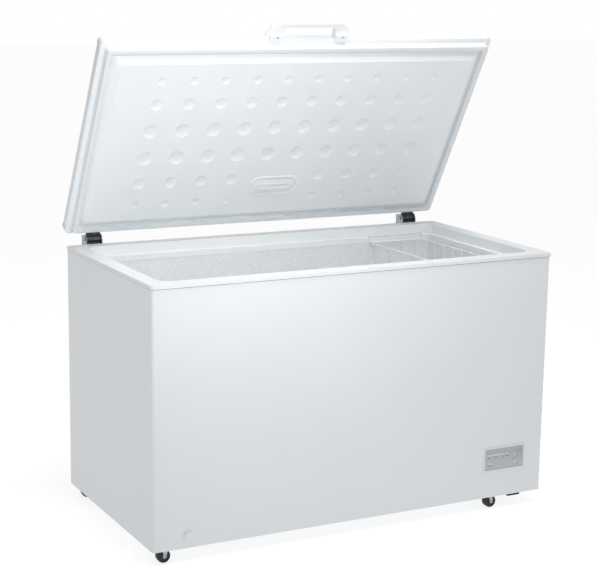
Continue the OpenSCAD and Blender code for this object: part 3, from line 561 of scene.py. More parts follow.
FINISH_OF_SLOT = {
    "white_enamel": baked_enamel_sheet,
    "zinc_sheet": galvanised_sheet,
    "insulation": foamed_urethane,
    "embossed_liner": stucco_aluminium,
    "white_plastic": white_moulded_abs,
    "lamp_cover": opal_lamp_cover,
    "gasket": soft_pvc,
    "copper_tube": drawn_copper,
    "flat_tube": flattened_aluminium,
    "black_enamel": black_stove_enamel,
    "black_rubber": black_rubber,
    "black_plastic": black_polypropylene,
    "grey_plastic": silver_painted_abs,
    "circuit_board": solder_mask,
    "indicator": clear_indicator,
    "plated_steel": plated_steel,
    "dark_steel": dark_steel,
    "wheel": black_nylon_wheel,
    "coated_wire": coated_wire,
}


def dress_nodes():
    """Gives every CAD node the finish of its own slot in the record."""
    slots = {part["node"]: part["material_slot"] for part in frame["record"]["subparts"]}
    for name, node in frame["nodes"].items():
        material = made(FINISH_OF_SLOT[slots[name]])
        if not node.material_slots:
            node.data.materials.append(material)
        for slot in node.material_slots:
            slot.material = material


# ---- settings that a user would change --------------------------------------------


def length(name, description, millimetres):
    """A length property, with its default given in millimetres."""
    return FloatProperty(
        name=name, description=description, default=millimetres * MM, min=0.0, unit="LENGTH"
    )


class FreezerSizes(bpy.types.PropertyGroup):
    """Sizes of the visible pieces; everything else follows the frame."""

    rim_flat: length("Rim flat", "Width of the rim's flat top", 45.5)
    ledge: length("Ledge", "Width of the ledge that the basket hangs on", 10)
    rim_edge: length("Rim edge", "Radius of the rim's edges", 2.2)
    lid_edge: length("Lid edge", "Radius of the lid's upper edge", 4)
    lid_corner: length("Lid corner", "Radius of the lid's corners in plan", 14)
    seat: length("Gasket seat", "Distance from the lid's side to the gasket seat", 14)
    slope: length("Slope", "Distance from the lid's side to the top of the slope", 34)
    slope_run: length("Slope run", "Width of the slope round the plateau", 26)
    seat_height: length("Seat height", "Height of the gasket seat above the plateau", 20)
    liner_wall: length("Liner wall", "Wall thickness of the lid liner", 1.5)
    pan_hem: length("Pan hem", "Width of the edge folded in under the lid's steel pan", 9)
    mesh_step: length("Mesh step", "Spacing of the grid over the lid liner", 3.0)
    dimple_pitch: length("Dimple pitch", "Spacing of the dimples along a row", 100)
    gasket_width: length("Gasket width", "Width of the gasket", 18)
    wire: length("Wire", "Diameter of the basket's infill wire", 3.2)
    frame_wire: length("Frame wire", "Diameter of the basket's frame wire", 5)
    spring_wire: length("Spring wire", "Diameter of the hinge spring's wire", 3.2)
    spring_turns: IntProperty(name="Turns", description="Turns of the hinge spring", default=10)


def angle(name, description, degrees):
    """An angle property, with its default given in degrees."""
    default = math.radians(degrees)
    return FloatProperty(name=name, description=description, default=default, subtype="ANGLE")


def amount(name, description, default):
    """A plain number property."""
    return FloatProperty(name=name, description=description, default=default)


def colour(name, description, default):
    """A colour property, with its default in linear RGB."""
    return FloatVectorProperty(
        name=name, description=description, default=default, min=0.0, max=1.0, subtype="COLOR"
    )


def tint(name, description, hex_colour):
    """A colour property, with its default given as an sRGB hex string."""
    return colour(name, description, linear(hex_colour)[:3])


class FreezerColours(bpy.types.PropertyGroup):
    """Colours of the finishes that differ from one model to another."""

    enamel: tint("Enamel", "Baked enamel on the cabinet and the lid", "F0F4F7")
    moulding: tint("Moulding", "Moulded rim, handle, caps and corners", "F2F5F7")
    liner: tint("Lid liner", "Formed inner panel of the lid", "F1F5F8")
    tub: tint("Tub", "Embossed aluminium of the tub", "F0F3F5")
    gasket: tint("Gasket", "Soft gasket round the lid", "E8ECEE")
    bezel: tint("Bezel", "Frame of the control panel", "E8EBED")
    panel: tint("Panel", "Plate of the control panel", "CDD2D6")
    button: tint("Button", "Push buttons", "DDE0E3")


class FreezerStage(bpy.types.PropertyGroup):
    """Camera and light."""

    azimuth: angle("Azimuth", "Direction the camera looks in: 0 along +Y, 90 along -X", -27.69)
    elevation: angle("Elevation", "Angle of the camera above the horizon", 11.45)
    roll: angle("Roll", "Turn of the camera about the direction it looks in", 0.87)
    distance: length("Distance", "Distance from the camera to the point it looks at", 4600)
    target: FloatVectorProperty(
        name="Target",
        description="Point that the camera looks at",
        default=(-0.0487, -0.0272, 0.6625),
        subtype="XYZ",
    )
    lens: amount("Lens", "Focal length on a 36 mm sensor, in mm", 93.7)
    floor: colour("Floor", "Colour of the floor", (0.4, 0.4, 0.4))
    floor_glow: amount("Floor glow", "Light that the floor gives off itself", 0.8)
    ambient: amount("Ambient", "Strength of the light from all round", 0.37)
    key: amount("Key", "Power of the soft light aimed at the lid", 2.1)
    key_spread: angle("Key spread", "Angle over which the light at the front spreads", 36)
    top: amount("Top", "Power of the soft light over the mouth", 34.0)


# ---- pieces of the cabinet ----------------------------------------------------------


class PieceOperator(bpy.types.Operator):
    """Shared ground of the operators that build pieces."""

    bl_options = {"REGISTER", "UNDO"}

    def execute(self, context):
        """Builds the pieces from the scene's settings."""
        self.build(context.scene.freezer_sizes)
        return {"FINISHED"}


class FREEZER_OT_cabinet(PieceOperator):
    """Sheet round the cabinet, with its folded edges rounded."""

    bl_idname = "freezer.cabinet"
    bl_label = "Cabinet sheet"

    def build(self, sizes):
        """The CAD shape carries the folds and the openings; only its edges are rounded."""
        softened("front_and_side_sheet", "cabinet_wrap", "cabinet", "white_enamel", 0.35 * MM)


class FREEZER_OT_rim(PieceOperator):
    """Plastic rim round the mouth, with the ledge for the basket, and a painted shadow line under its band."""

    bl_idname = "freezer.rim"
    bl_label = "Rim"

    def build(self, sizes):
        """One closed profile of flat top, inner wall, ledge and lip, carried round the mouth."""
        low, high = corners("rim_frame")
        shell_low, shell_high = corners("cabinet_wrap")
        w, d, _ = plan(low, high)
        shell_w, shell_d = shell_high[0] - shell_low[0], -2 * shell_low[1]
        mouth_w, mouth_d = w - 2 * sizes.rim_flat, d - 2 * sizes.rim_flat
        lip_w, lip_d = mouth_w - 2 * sizes.ledge, mouth_d - 2 * sizes.ledge
        top, shell_top = high[2], shell_high[2]
        band, ledge, liner_top = top - 11 * MM, top - 31 * MM, top - 33.5 * MM
        corner, mouth_r, lip_r, shell_r = 10 * MM, 36 * MM, 24 * MM, 9 * MM
        wall, lip_wall = 5 * MM, 4 * MM
        rings = [
            (w, d, corner, band),
            (w, d, corner, top),
            (mouth_w, mouth_d, mouth_r, top),
            (mouth_w - 3 * MM, mouth_d - 3 * MM, mouth_r - 1 * MM, ledge),
            (lip_w, lip_d, lip_r, ledge),
            (lip_w, lip_d, lip_r, low[2]),
            (lip_w + lip_wall, lip_d + lip_wall, lip_r + 2 * MM, low[2]),
            (lip_w + lip_wall, lip_d + lip_wall, lip_r + 2 * MM, liner_top),
            (mouth_w + wall, mouth_d + wall, mouth_r + 2 * MM, liner_top),
            (mouth_w + wall, mouth_d + wall, mouth_r + 2 * MM, shell_top),
            (shell_w, shell_d, shell_r, shell_top),
            (shell_w, shell_d, shell_r, band),
        ]
        shape = loft([rounded(*ring) for ring in rings], closed=True)
        edge = sizes.rim_edge
        new_piece("mouth_rim", shape, "cabinet", "white_plastic", ("rim_frame",), bevel=edge)
        # The grey strip laid round the sheet just under the rim's band is painted shade: a thin dark line for the
        # shadow in the seam, not a part of the freezer.
        proud, deep = 0.9 * MM, 1.6 * MM
        inner, upper, lower = proud + MM, band + MM, band - deep
        strip = [(0, upper), (0, lower), (inner, lower), (inner, upper)]
        shape = carry(shell_w + 2 * proud, shell_d + 2 * proud, shell_r, strip, closed=True)
        new_piece(
            "rim_sealing_strip", shape, "cabinet", "black_rubber", maker=painted_rim_shadow
        )


class FREEZER_OT_vent(PieceOperator):
    """Louvred cover over the machine bay at the back."""

    bl_idname = "freezer.vent"
    bl_label = "Rear vent"

    def build(self, sizes):
        """The CAD grille with its slots, its edges rounded as a moulding's are."""
        softened("rear_louvre", "rear_vent_grille", "cabinet", "black_plastic", 0.5 * MM, 2)


# ---- pieces of the lid ----------------------------------------------------------------


class FREEZER_OT_lid_shell(PieceOperator):
    """Painted steel pan of the lid and the four moulded corner caps."""

    bl_idname = "freezer.lid_shell"
    bl_label = "Lid shell"

    def build(self, sizes):
        """The pan is a rounded rectangle's profile; a cap is one corner of a proud profile."""
        low, high = closed_corners("lid_skin")
        w, d, cy = plan(low, high)
        z0, z1, r, e = low[2], high[2], sizes.lid_corner, sizes.lid_edge
        turn = np.linspace(0, math.pi / 2, 7)
        edge = np.column_stack([e - e * np.cos(turn), z1 - e + e * np.sin(turn)])
        hem = sizes.pan_hem
        pan = [(MM, z1 - MM), (MM, z0 + MM), (hem, z0 + MM), (hem, z0)]
        pan += [(0.6 * MM, z0), (0, z0 + 0.4 * MM)]
        pan += [tuple(row) for row in edge] + [(e + 4 * MM, z1)]
        shape = opened(carry(w, d, r, pan, cy))
        new_piece("lid_outer_pan", shape, "lid", "white_enamel", ("lid_skin",))
        self.caps(w, d, cy, r, z0, z1)
        self.foam(sizes, w, d, cy, z0, z1)

    def foam(self, sizes, w, d, cy, z0, z1):
        """A stepped block that fills the pan and the back of the liner, clear of both."""
        plate = closed_corners("lid_liner")[0][2]
        slope, run, seat = sizes.slope, sizes.slope_run, sizes.seat + 3 * MM
        steps = [
            (slope + run + 2 * MM, plate + 7 * MM),
            (slope + 3 * MM, plate + sizes.seat_height + 3 * MM),
            (seat, plate + sizes.seat_height + 3 * MM),
            (seat, z0 + 1.5 * MM),
            (1.6 * MM, z0 + 1.5 * MM),
            (1.6 * MM, z1 - 1.5 * MM),
        ]
        rings = [rounded(w - 2 * u, d - 2 * u, sizes.lid_corner, z, cy) for u, z in steps]
        new_piece("lid_foam_core", opened(loft(rings)), "lid", "insulation", ("lid_foam",))

    def caps(self, w, d, cy, r, z0, z1):
        """Each cap runs 7 mm past its corner's quarter circle, 1 mm proud of the pan."""
        out, straight, top = 1 * MM, 7 * MM, z1 - MM
        section = [(0.05 * MM, z0), (out, z0), (out, top - 1.2 * MM)]
        section += [(out - 0.5 * MM, top - 0.2 * MM), (0.05 * MM, top)]
        quarter = np.linspace(0, math.pi / 2, 13)
        shapes = []
        for sx, sy in ((1, 1), (-1, 1), (-1, -1), (1, -1)):
            rings = []
            for grow, z in section:
                x = np.concatenate([[r + grow], (r + grow) * np.cos(quarter), [-straight]])
                y = np.concatenate([[-straight], (r + grow) * np.sin(quarter), [r + grow]])
                ring = [sx * (w / 2 - r + x), cy + sy * (d / 2 - r + y), np.full(x.size, z)]
                rings.append(np.column_stack(ring))
            count = len(rings[0])
            faces = grid_faces(len(rings), count, wrap_rows=True)
            ends = [[k * count for k in range(len(rings))]]
            ends += [[k * count + count - 1 for k in range(len(rings))]]
            shapes.append((np.concatenate(rings), faces + ends))
        shape = opened(join(*shapes))
        new_piece("lid_corner_covers", shape, "lid", "white_plastic", ("lid_corner_caps",))


class FREEZER_OT_lid_liner(PieceOperator):
    """Formed liner of the lid: gasket seat, slope, and the plateau with its rows of dimples."""

    bl_idname = "freezer.lid_liner"
    bl_label = "Lid liner"

    # each row: distance from the lid's middle, dimple diameter, whether the lamp takes its middle
    ROWS = (
        *((-219, 26.5, False), (-140, 37, False), (-48, 47, False)),
        *((48, 47, False), (138.5, 38, True), (218, 26.5, True)),
    )

    def dimples(self, pitch):
        """Middles and radii of the dimples, ten to a row."""
        columns = np.arange(-4.5, 5) * pitch
        found = []
        for y, diameter, lamp in self.ROWS:
            x = columns[np.abs(columns) > pitch] if lamp else columns
            found += [(a, y * MM, diameter * MM / 2) for a in x]
        return np.array(found)

    def build(self, sizes):
        """Height field of dished dimples on a grid, whose border is carried down to the flange."""
        low, high = closed_corners("lid_liner")
        w, d, cy = plan(*closed_corners("lid_skin"))
        wall = sizes.liner_wall
        plate, flange = low[2], high[2] - wall
        seat = plate + sizes.seat_height
        inset = sizes.slope + sizes.slope_run
        flat_w, flat_d = w - 2 * inset, d - 2 * inset
        nx, ny = int(flat_w / sizes.mesh_step), int(flat_d / sizes.mesh_step)
        x, y = np.meshgrid(np.linspace(-1, 1, nx), np.linspace(-1, 1, ny), indexing="ij")
        unit = np.column_stack([x.ravel(), y.ravel()])
        flat = unit * [flat_w / 2, flat_d / 2]
        middles = self.dimples(sizes.dimple_pitch)
        flat, rise = self.sink(flat, middles, sizes.mesh_step, cy)
        points = np.column_stack([flat[:, 0], flat[:, 1] + cy, plate + rise])
        border = [np.arange(nx) * ny, (nx - 1) * ny + np.arange(1, ny)]
        border += [np.arange(nx - 2, -1, -1) * ny + ny - 1, np.arange(ny - 2, 0, -1)]
        border = np.concatenate(border)
        slope, edge, corner = sizes.slope, sizes.seat, sizes.lid_corner / MM - 1
        # distance in from the lid's side, corner radius in mm, height
        steps = [
            (inset, 12, plate),
            (inset - 1 * MM, 13, plate + 0.4 * MM),
            (inset - 2 * MM, 14, plate + 1.8 * MM),
            (slope + 0.75 * MM, 24, seat - 1.2 * MM),
            (slope - 0.25 * MM, 24, seat),
            (edge + 1 * MM, 13, seat),
            (edge + 0.2 * MM, 14, seat + 0.4 * MM),
            (edge, 14, seat + 2 * MM),
            (edge, 14, flange - 1 * MM),
            (edge - 0.5 * MM, 14, flange),
            (edge - 1.5 * MM, 15, flange),
            (1 * MM, corner, flange),
            (1 * MM, corner, flange + wall),
            (edge + wall, 13, flange + wall),
            (edge + wall, 13, seat + wall),
            (slope, 22, seat + wall),
            (inset, 12, plate + 6 * MM),
        ]
        square = unit[border]
        rings = [self.frame_ring(square, w - 2 * u, d - 2 * u, r * MM, z, cy) for u, r, z in steps]
        points[border] = rings[0]
        faces = grid_faces(nx, ny)
        count, start = len(border), len(points)
        rim = np.array(grid_faces(len(rings), count, wrap_cols=True))
        index = np.concatenate([border, start + np.arange(count * (len(rings) - 1))])
        back = [index[-count:].tolist()]
        shape = np.concatenate([points, *rings[1:]]), faces + index[rim].tolist() + back
        new_piece(
            "lid_inner_panel", opened(shape), "lid", "white_plastic", ("lid_liner",),
            maker=white_polystyrene, smooth_below=13,
        )

    def sink(self, flat, middles, step, cy):
        """Moves points near a rim onto it; inside, height is depth x (1 - (gap / radius)^3)."""
        away = flat[:, None] - (middles[None, :, :2] - [0, cy])
        gap = np.linalg.norm(away, axis=2)
        nearest = gap.argmin(1)
        rows = np.arange(len(flat))
        gap, away = gap[rows, nearest], away[rows, nearest]
        radius = middles[nearest, 2]
        depth = 2.4 * MM + 0.1 * radius
        onto = np.abs(gap - radius) < step / 2
        scale = np.where(onto, radius / np.maximum(gap, step / 4), 1.0)
        moved = flat + away * (scale - 1)[:, None]
        gap = np.where(onto, radius, gap)
        dish = depth * (1 - (np.minimum(gap, radius) / radius) ** 3)
        return moved, dish

    def frame_ring(self, unit, w, d, r, z, cy):
        """Border of the unit square stretched to w x d, its corners pulled onto circles."""
        flat = unit * [w / 2, d / 2]
        hub = np.sign(unit) * [w / 2 - r, d / 2 - r]
        away = flat - hub
        corner = (away * np.sign(unit) > 0).all(1)
        reach = np.maximum(np.linalg.norm(away, axis=1), 1e-9)[:, None]
        flat = np.where(corner[:, None], hub + away / reach * r, flat)
        return np.column_stack([flat[:, 0], flat[:, 1] + cy, np.full(len(flat), z)])


class FREEZER_OT_gasket(PieceOperator):
    """Magnetic gasket on its seat round the lid's plateau."""

    bl_idname = "freezer.gasket"
    bl_label = "Gasket"

    # outline of the extrusion in mm: distance in from its outer side, depth below its seat
    OUTLINE = (
        *((0, 0), (0, 4.6), (1.4, 6.2), (0.2, 7.8), (0.3, 10.6), (1.6, 12.6), (4, 13.6)),
        *((10, 13.2), (16, 13.6), (18.4, 12.6), (19.7, 10.6), (19.8, 7.8), (18.6, 6.2)),
        *((20, 4.6), (20, 0)),
    )

    def build(self, sizes):
        """A pleated hollow profile carried round the lid; its corners are near square."""
        low, high = closed_corners("lid_gasket")
        w, d, cy = plan(low, high)
        wide = sizes.gasket_width / (20 * MM)
        profile = [(u * wide * MM, high[2] - v * MM) for u, v in self.OUTLINE]
        corner = 13 * MM
        shape = opened(carry(w, d, corner, profile, cy, closed=True))
        new_piece("lid_seal", shape, "lid", "gasket", ("lid_gasket",), smooth_below=50)


class FREEZER_OT_handle(PieceOperator):
    """Arched grip at the front edge of the lid with its two screwed feet."""

    bl_idname = "freezer.handle"
    bl_label = "Handle"

    def build(self, sizes):
        """Between an outer and an inner outline runs a section of rounded-square outline."""
        low, high = closed_corners("lid_handle")
        skin_low, skin_high = closed_corners("lid_skin")
        edge, reach = skin_low[1], skin_low[1] - low[1]
        half = (high[0] - low[0]) / 2
        z0, z1 = skin_low[2] + 3 * MM, skin_high[2] - 2 * MM
        bar, lean, foot_w, foot_x = 18 * MM, 0.5 * reach, 57 * MM, 107.4 * MM
        outer_bend, inner_bend, squareness = 34 * MM, 15 * MM, 0.4
        corner = half - lean
        outer = [(-half, 0), (-corner, -reach), (corner, -reach), (half, 0)]
        inner_reach, inner = reach - bar, half - foot_w
        hollow = [(-inner, 0), (-inner + 4 * MM, -inner_reach)]
        hollow += [(inner - 4 * MM, -inner_reach), (inner, 0)]
        outer, hollow = bend(outer, outer_bend, 12), bend(hollow, inner_bend, 12)
        stations = self.between(outer, hollow)
        turn = np.linspace(0, 2 * math.pi, 32, endpoint=False)
        across = np.sign(np.cos(turn)) * np.abs(np.cos(turn)) ** squareness
        up = np.sign(np.sin(turn)) * np.abs(np.sin(turn)) ** squareness
        rings = []
        for a, b in stations:
            middle, arm = (a + b) / 2, (a - b) / 2
            flat = middle + arm * across[:, None]
            z = (z0 + z1) / 2 + (z1 - z0) / 2 * up
            rings.append(np.column_stack([flat[:, 0], edge + flat[:, 1], z]))
        feet = [self.foot(s * foot_x, edge, low[2], z0 + 1 * MM) for s in (-1, 1)]
        shape = opened(join(loft(rings), *feet))
        new_piece("lid_grip", shape, "lid", "white_plastic", ("lid_handle",), smooth_below=45)

    def between(self, outer, hollow):
        """Matching points of both outlines, with more of them along the straight bar."""
        steps = np.linspace(0, 1, 7)[1:-1, None]
        middle = len(outer) // 2
        rows = []
        for path in (outer, hollow):
            bar = path[middle - 1] + steps * (path[middle] - path[middle - 1])
            rows.append(np.concatenate([path[:middle], bar, path[middle:]]))
        return list(zip(*rows))

    def foot(self, x, edge, z0, z1):
        """A block under the grip, with a screw well in its lower face."""
        w, d, corner, y = 44 * MM, 25 * MM, 7, edge - 5.5 * MM
        # half width, half depth and height in mm, from the bottom of the well outwards
        rows = [(3.5, 3.5, 5.0), (3.5, 3.5, 0.3), (4.0, 4.0, 0), (17, 9, 0)]
        rows += [(19.5, 10.8, 0.8), (21.2, 12, 2.6), (22, 12.5, 5.0)]
        rings = []
        for a, b, up in rows:
            radius = min(a, b, corner) * MM
            rings.append(rounded(2 * a * MM, 2 * b * MM, radius, z0 + up * MM) + [x, y, 0])
        rings.append(rounded(w, d, corner * MM, z1) + [x, y, 0])
        well = y - (edge - 9.7 * MM)
        for ring in rings[:3]:
            ring[:, 1] -= well
        return loft(rings)


class FREEZER_OT_lamp(PieceOperator):
    """Opal cover over the lid's lamp: a grooved border round a raised, grooved middle."""

    bl_idname = "freezer.lamp"
    bl_label = "Lamp cover"

    def build(self, sizes):
        """One profile round a stadium: rim, border groove, raised middle and its groove."""
        low, high = closed_corners("lamp_lens")
        plate = closed_corners("lid_liner")[0][2]
        w, d, cy = plan(low, high)
        face, crown = 2.4, (plate - low[2]) / MM
        # distance in from the rim, height above the liner's plateau, both in mm
        profile = [(8, -6), (8, 0), (0, 0), (0, face - 1.2), (0.5, face - 0.4), (1.6, face)]
        profile += [(11, face), (11.8, face - 0.5), (12.7, face - 1.3), (13.6, face - 0.5)]
        profile += [(14.4, face), (22.6, face + 0.2), (23.4, face + 0.6), (24.2, crown - 0.4)]
        profile += [(25, crown), (32.4, crown), (33.2, crown - 0.5), (34, crown - 1.5)]
        profile += [(35.4, crown - 1.7)]
        rows = [(u * MM, plate - v * MM) for u, v in profile]
        shape = opened(carry(w, d, d / 2, rows, cy, arc=14))
        new_piece("lamp_cover", shape, "lid", "lamp_cover", ("lamp_lens",), smooth_below=50)


# ---- hinges, basket, panel, drain and casters -----------------------------------------


class FREEZER_OT_hinges(PieceOperator):
    """Pressed hinge bases and leaves, and the coiled springs inside them."""

    bl_idname = "freezer.hinges"
    bl_label = "Hinges"

    def build(self, sizes):
        """The pressings keep their CAD shape; each spring is a wire along a helix."""
        softened("hinge_channels", "hinge_bases", "cabinet", "plated_steel", 0.5 * MM, 2)
        softened("lid_leaves", "hinge_leaves", "lid", "dark_steel", 0.5 * MM, 2)
        low, high = corners("hinge_springs")
        side = high[0]
        radius = (high[1] - low[1] - sizes.spring_wire) / 2
        middle_y = (high[1] + low[1]) / 2
        middle_x = side - radius - sizes.spring_wire / 2
        z0, z1 = low[2] + sizes.spring_wire / 2, high[2] - sizes.spring_wire / 2
        t = np.linspace(0, 1, sizes.spring_turns * 20 + 1)
        turn = 2 * math.pi * sizes.spring_turns * t
        coils = []
        for s in (-1, 1):
            x = s * middle_x + radius * np.cos(turn)
            y = middle_y + radius * np.sin(turn)
            path = np.column_stack([x, y, z0 + (z1 - z0) * t])
            coils.append(tube(path, sizes.spring_wire / 2, [0.0, 0.0, 1.0], 10))
        new_piece("hinge_coils", join(*coils), "cabinet", "dark_steel", ("hinge_springs",))


class FREEZER_OT_basket(PieceOperator):
    """Hanging basket of bent and welded wire."""

    bl_idname = "freezer.basket"
    bl_label = "Basket"

    def build(self, sizes):
        """Frame, two hangers and the infill wires, each a round wire along a bent path."""
        low, high = corners("basket")
        thick, thin = sizes.frame_wire / 2, sizes.wire / 2
        x0, x1 = low[0] + thick, high[0] - thick
        cx = (x0 + x1) / 2
        yh, zh = high[1] - thick, high[2] - thick
        yb, zb = 270 * MM, low[2] + thin
        zf = zh - 18.8 * MM  # the frame hangs this far below its hangers
        k = thick + thin - 0.6 * MM  # wires pressed 0.6 mm into the frame by the weld
        pitch_x, pitch_y, fold = 48.8 * MM, 53 * MM, 9 * MM
        diagonal = np.array([0.5, 0.6, 0.62])
        loop = [(cx, -yb), (x1, -yb), (x1, yb), (x0, yb), (x0, -yb), (cx, -yb)]
        shapes = [tube(bend([(x, y, zf) for x, y in loop], 12 * MM), thick, [0, 0, 1.0])]
        for s in (-1, 1):
            ends = [(x0, s * yb, zf), (x0, s * yb, zh), (x0, s * yh, zh)]
            back = [(x1, s * yh, zh), (x1, s * yb, zh), (x1, s * yb, zf)]
            shapes.append(tube(bend(ends + back, 5 * MM), thick, diagonal))
        for i in np.arange(-1.5, 2):
            x = cx + i * pitch_x
            path = [(x, -yb + k, zf), (x, -yb + k, zb), (x, yb - k, zb), (x, yb - k, zf)]
            shapes.append(tube(bend(path, fold), thin, [1.0, 0, 0], 10))
        for j in np.arange(-4.5, 5):
            y, bottom = j * pitch_y, zb + 2.6 * MM
            ends = [(x0 + k, y, zf), (x0 + k, y, bottom), (x1 - k, y, bottom), (x1 - k, y, zf)]
            shapes.append(tube(bend(ends, fold), thin, [0, 1.0, 0], 10))
        new_piece("wire_basket", join(*shapes), "basket", "coated_wire", ("basket",))


class FREEZER_OT_panel(PieceOperator):
    """Control panel: bezel, plate, lenses, push buttons and the printed marks."""

    bl_idname = "freezer.panel"
    bl_label = "Control panel"

    def build(self, sizes):
        """Mouldings keep their CAD shape; buttons are turned, marks are thin printed plates."""
        softened(
            "panel_frame", "panel_bezel", "cabinet", "white_plastic", 0.7 * MM, maker=bezel_abs
        )
        softened("panel_plate", "panel_faceplate", "cabinet", "grey_plastic", 0.4 * MM, 2)
        softened("panel_lenses", "indicator_lenses", "cabinet", "indicator", 0.3 * MM, 2)
        for name in ("upper", "lower"):
            self.button(name)
        low, high = corners("panel_faceplate")
        self.middle = (low + high) / 2 + PANEL_OUT * 1.0 * MM
        self.marks()

    def button(self, name):
        """A disc with a rounded rim and a shallow dish for the fingertip."""
        low, high = corners("button_" + name)
        middle = (low + high) / 2
        r, half = (high[0] - low[0]) / 2, 3.3 * MM
        dish = np.linspace(0, 1, 6)[::-1]
        profile = [(0, -half), (r - 0.3 * MM, -half), (r, -half + 0.3 * MM), (r, half - 0.8 * MM)]
        profile += [(r - 0.25 * MM, half - 0.25 * MM), (r - 0.9 * MM, half)]
        profile += [((r - 1.3 * MM) * t, half - 0.6 * MM * (1 - t * t)) for t in dish]
        shape, nodes = lathe(profile, middle, PANEL_OUT), (f"button_{name}",)
        piece, body = f"push_button_{name}", f"{name}_button"
        new_piece(piece, shape, body, "grey_plastic", nodes, button_abs)

    def plate(self, across, up, w, h, thick=0.12):
        """A printed patch w x h mm with round corners, lying on the plate."""
        radius = min(w, h) * 0.45 * MM
        rings = [rounded(w * MM, h * MM, radius, z * MM, arc=4) for z in (0.01, thick)]
        points, faces = loft(rings)
        x, y, z = (points + [across * MM, up * MM, 0]).T[:, :, None]
        return self.middle + x * np.array([1.0, 0, 0]) + y * PANEL_UP + z * PANEL_OUT, faces

    def marks(self):
        """Plain ticks and dots beside the lenses and buttons, with no lettering."""
        ticks = [(-52, 2.2, 7, 1.6), (-25, 2.2, 9, 1.6), (3, 2.2, 6, 1.6), (16.5, 2.2, 8, 1.6)]
        ticks += [(-48, -21.6, 10, 1.6), (50.5, -0.6, 3, 2.2), (50.5, -24.4, 3, 2.2)]
        ticks += [(41, -8.0, 9, 1.4)]
        shape = join(*[self.plate(*tick) for tick in ticks])
        new_piece("panel_print", shape, "cabinet", "black_plastic", maker=printed_ink)


class FREEZER_OT_drain(PieceOperator):
    """Cap on the front drain and plug in the tub's floor."""

    bl_idname = "freezer.drain"
    bl_label = "Drain"

    def build(self, sizes):
        """Both keep their CAD shape with moulded edge radii."""
        softened("drain_front_cap", "drain_cap", "front_drain_cap", "white_plastic", 0.8 * MM)
        softened("drain_tub_plug", "drain_plug", "tub_drain_plug", "white_plastic", 0.8 * MM)


class FREEZER_OT_casters(PieceOperator):
    """Four swivel casters: moulded wheels in pressed forks."""

    bl_idname = "freezer.casters"
    bl_label = "Casters"

    def build(self, sizes):
        """A wheel is turned from a half section with a crowned tread; forks are pressings."""
        for place_name in ("fl", "fr", "rl", "rr"):
            self.fork(place_name)
            self.wheel(place_name)

    def fork(self, place_name):
        """Turned crown, stem and axle, a bridge, and two legs outlined by a pair of circles."""
        low, high = corners("caster_fork_" + place_name)
        wheel_low, wheel_high = corners("caster_wheel_" + place_name)
        axle = (wheel_low + wheel_high) / 2
        swivel = np.array([*JOINTS["swivel_" + place_name]["pos_m"][:2], 0.0])
        top, out = high[2], (high[1] - low[1]) / 2
        crown = [(0, top), (7, top), (7, top - 1 * MM), (5, top - 1 * MM), (5, top - 5 * MM)]
        crown += [(15.5, top - 5.6 * MM), (15.5, top - 6.6 * MM), (0, top - 6.8 * MM)]
        pin = [(0, -out), (3.4, -out), (4.2, 0.8 * MM - out), (4.2, 1.6 * MM - out)]
        pin += [(2.5, 1.6 * MM - out)]
        pin += [(r, -y) for r, y in pin[::-1]]
        shapes = [
            lathe([(r * MM, z) for r, z in crown], swivel, [0, 0, 1]),
            lathe([(r * MM, y) for r, y in pin], axle, [0, 1, 0], 24),
        ]
        face = (wheel_high[1] - wheel_low[1]) / 2 + 0.6 * MM
        forward = math.copysign(1.0, axle[0] - swivel[0])
        head = np.array([axle[0] - forward * 3 * MM, top - 6.8 * MM])
        for side in (-1, 1):
            shapes.append(self.leg(axle, head, axle[1] + side * face, side * 2 * MM))
        bridge = rounded(15 * MM, 2 * face + 4 * MM, 2 * MM, head[1]) + [head[0], axle[1], 0]
        shapes.append(loft([bridge, bridge + [0, 0, 1.7 * MM]]))
        name, nodes = f"fork_{place_name}", (f"caster_fork_{place_name}",)
        new_piece(name, join(*shapes), name, "plated_steel", nodes, bevel=0.3 * MM)

    def leg(self, axle, head, y, thick):
        """A strip from the bridge down to the axle, half round below and straight above."""
        round_end = np.linspace(0, -math.pi, 13)
        x = np.concatenate([[head[0] + 7 * MM], axle[0] + 5.2 * MM * np.cos(round_end)])
        z = np.concatenate([[head[1] + 1.7 * MM], axle[2] + 5.2 * MM * np.sin(round_end)])
        x = np.append(x, head[0] - 7 * MM)
        z = np.append(z, head[1] + 1.7 * MM)
        ring = np.column_stack([x, np.full(x.size, y), z])
        return loft([ring, ring + [0, thick, 0]])

    def wheel(self, place_name):
        """Half section from the bore over the hub, web and crowned tread, and back."""
        low, high = corners("caster_wheel_" + place_name)
        middle = (low + high) / 2
        radius, half = (high[2] - low[2]) / 2, (high[1] - low[1]) / 2
        bore = 2.55 * MM
        side = [(bore, 1.0), (7.2 * MM, 1.0), (7.8 * MM, 0.96), (8.2 * MM, 0.80)]
        side += [(radius - 5 * MM, 0.78), (radius - 4.2 * MM, 0.90), (radius - 2.2 * MM, 0.90)]
        side += [(radius - 0.9 * MM, 0.84), (radius - 0.25 * MM, 0.72), (radius, 0.5)]
        profile = [(r, half * t) for r, t in side] + [(r, -half * t) for r, t in side[::-1]]
        profile.append(profile[0])
        name, nodes = f"wheel_{place_name}", (f"caster_wheel_{place_name}",)
        shape = lathe(profile, middle, [0, 1, 0], 64)
        new_piece(name, shape, name, "wheel", nodes, smooth_below=40)


class FREEZER_OT_machine_bay(PieceOperator):
    """Compressor and the fittings round it behind the rear louvre."""

    bl_idname = "freezer.machine_bay"
    bl_label = "Machine bay"

    def build(self, sizes):
        """Pressed and moulded shapes from the CAD with rounded edges."""
        softened("compressor_dome", "compressor_shell", "cabinet", "black_enamel", 0.8 * MM, 2)
        softened("starter_box", "relay_box", "cabinet", "black_plastic", 1.5 * MM)


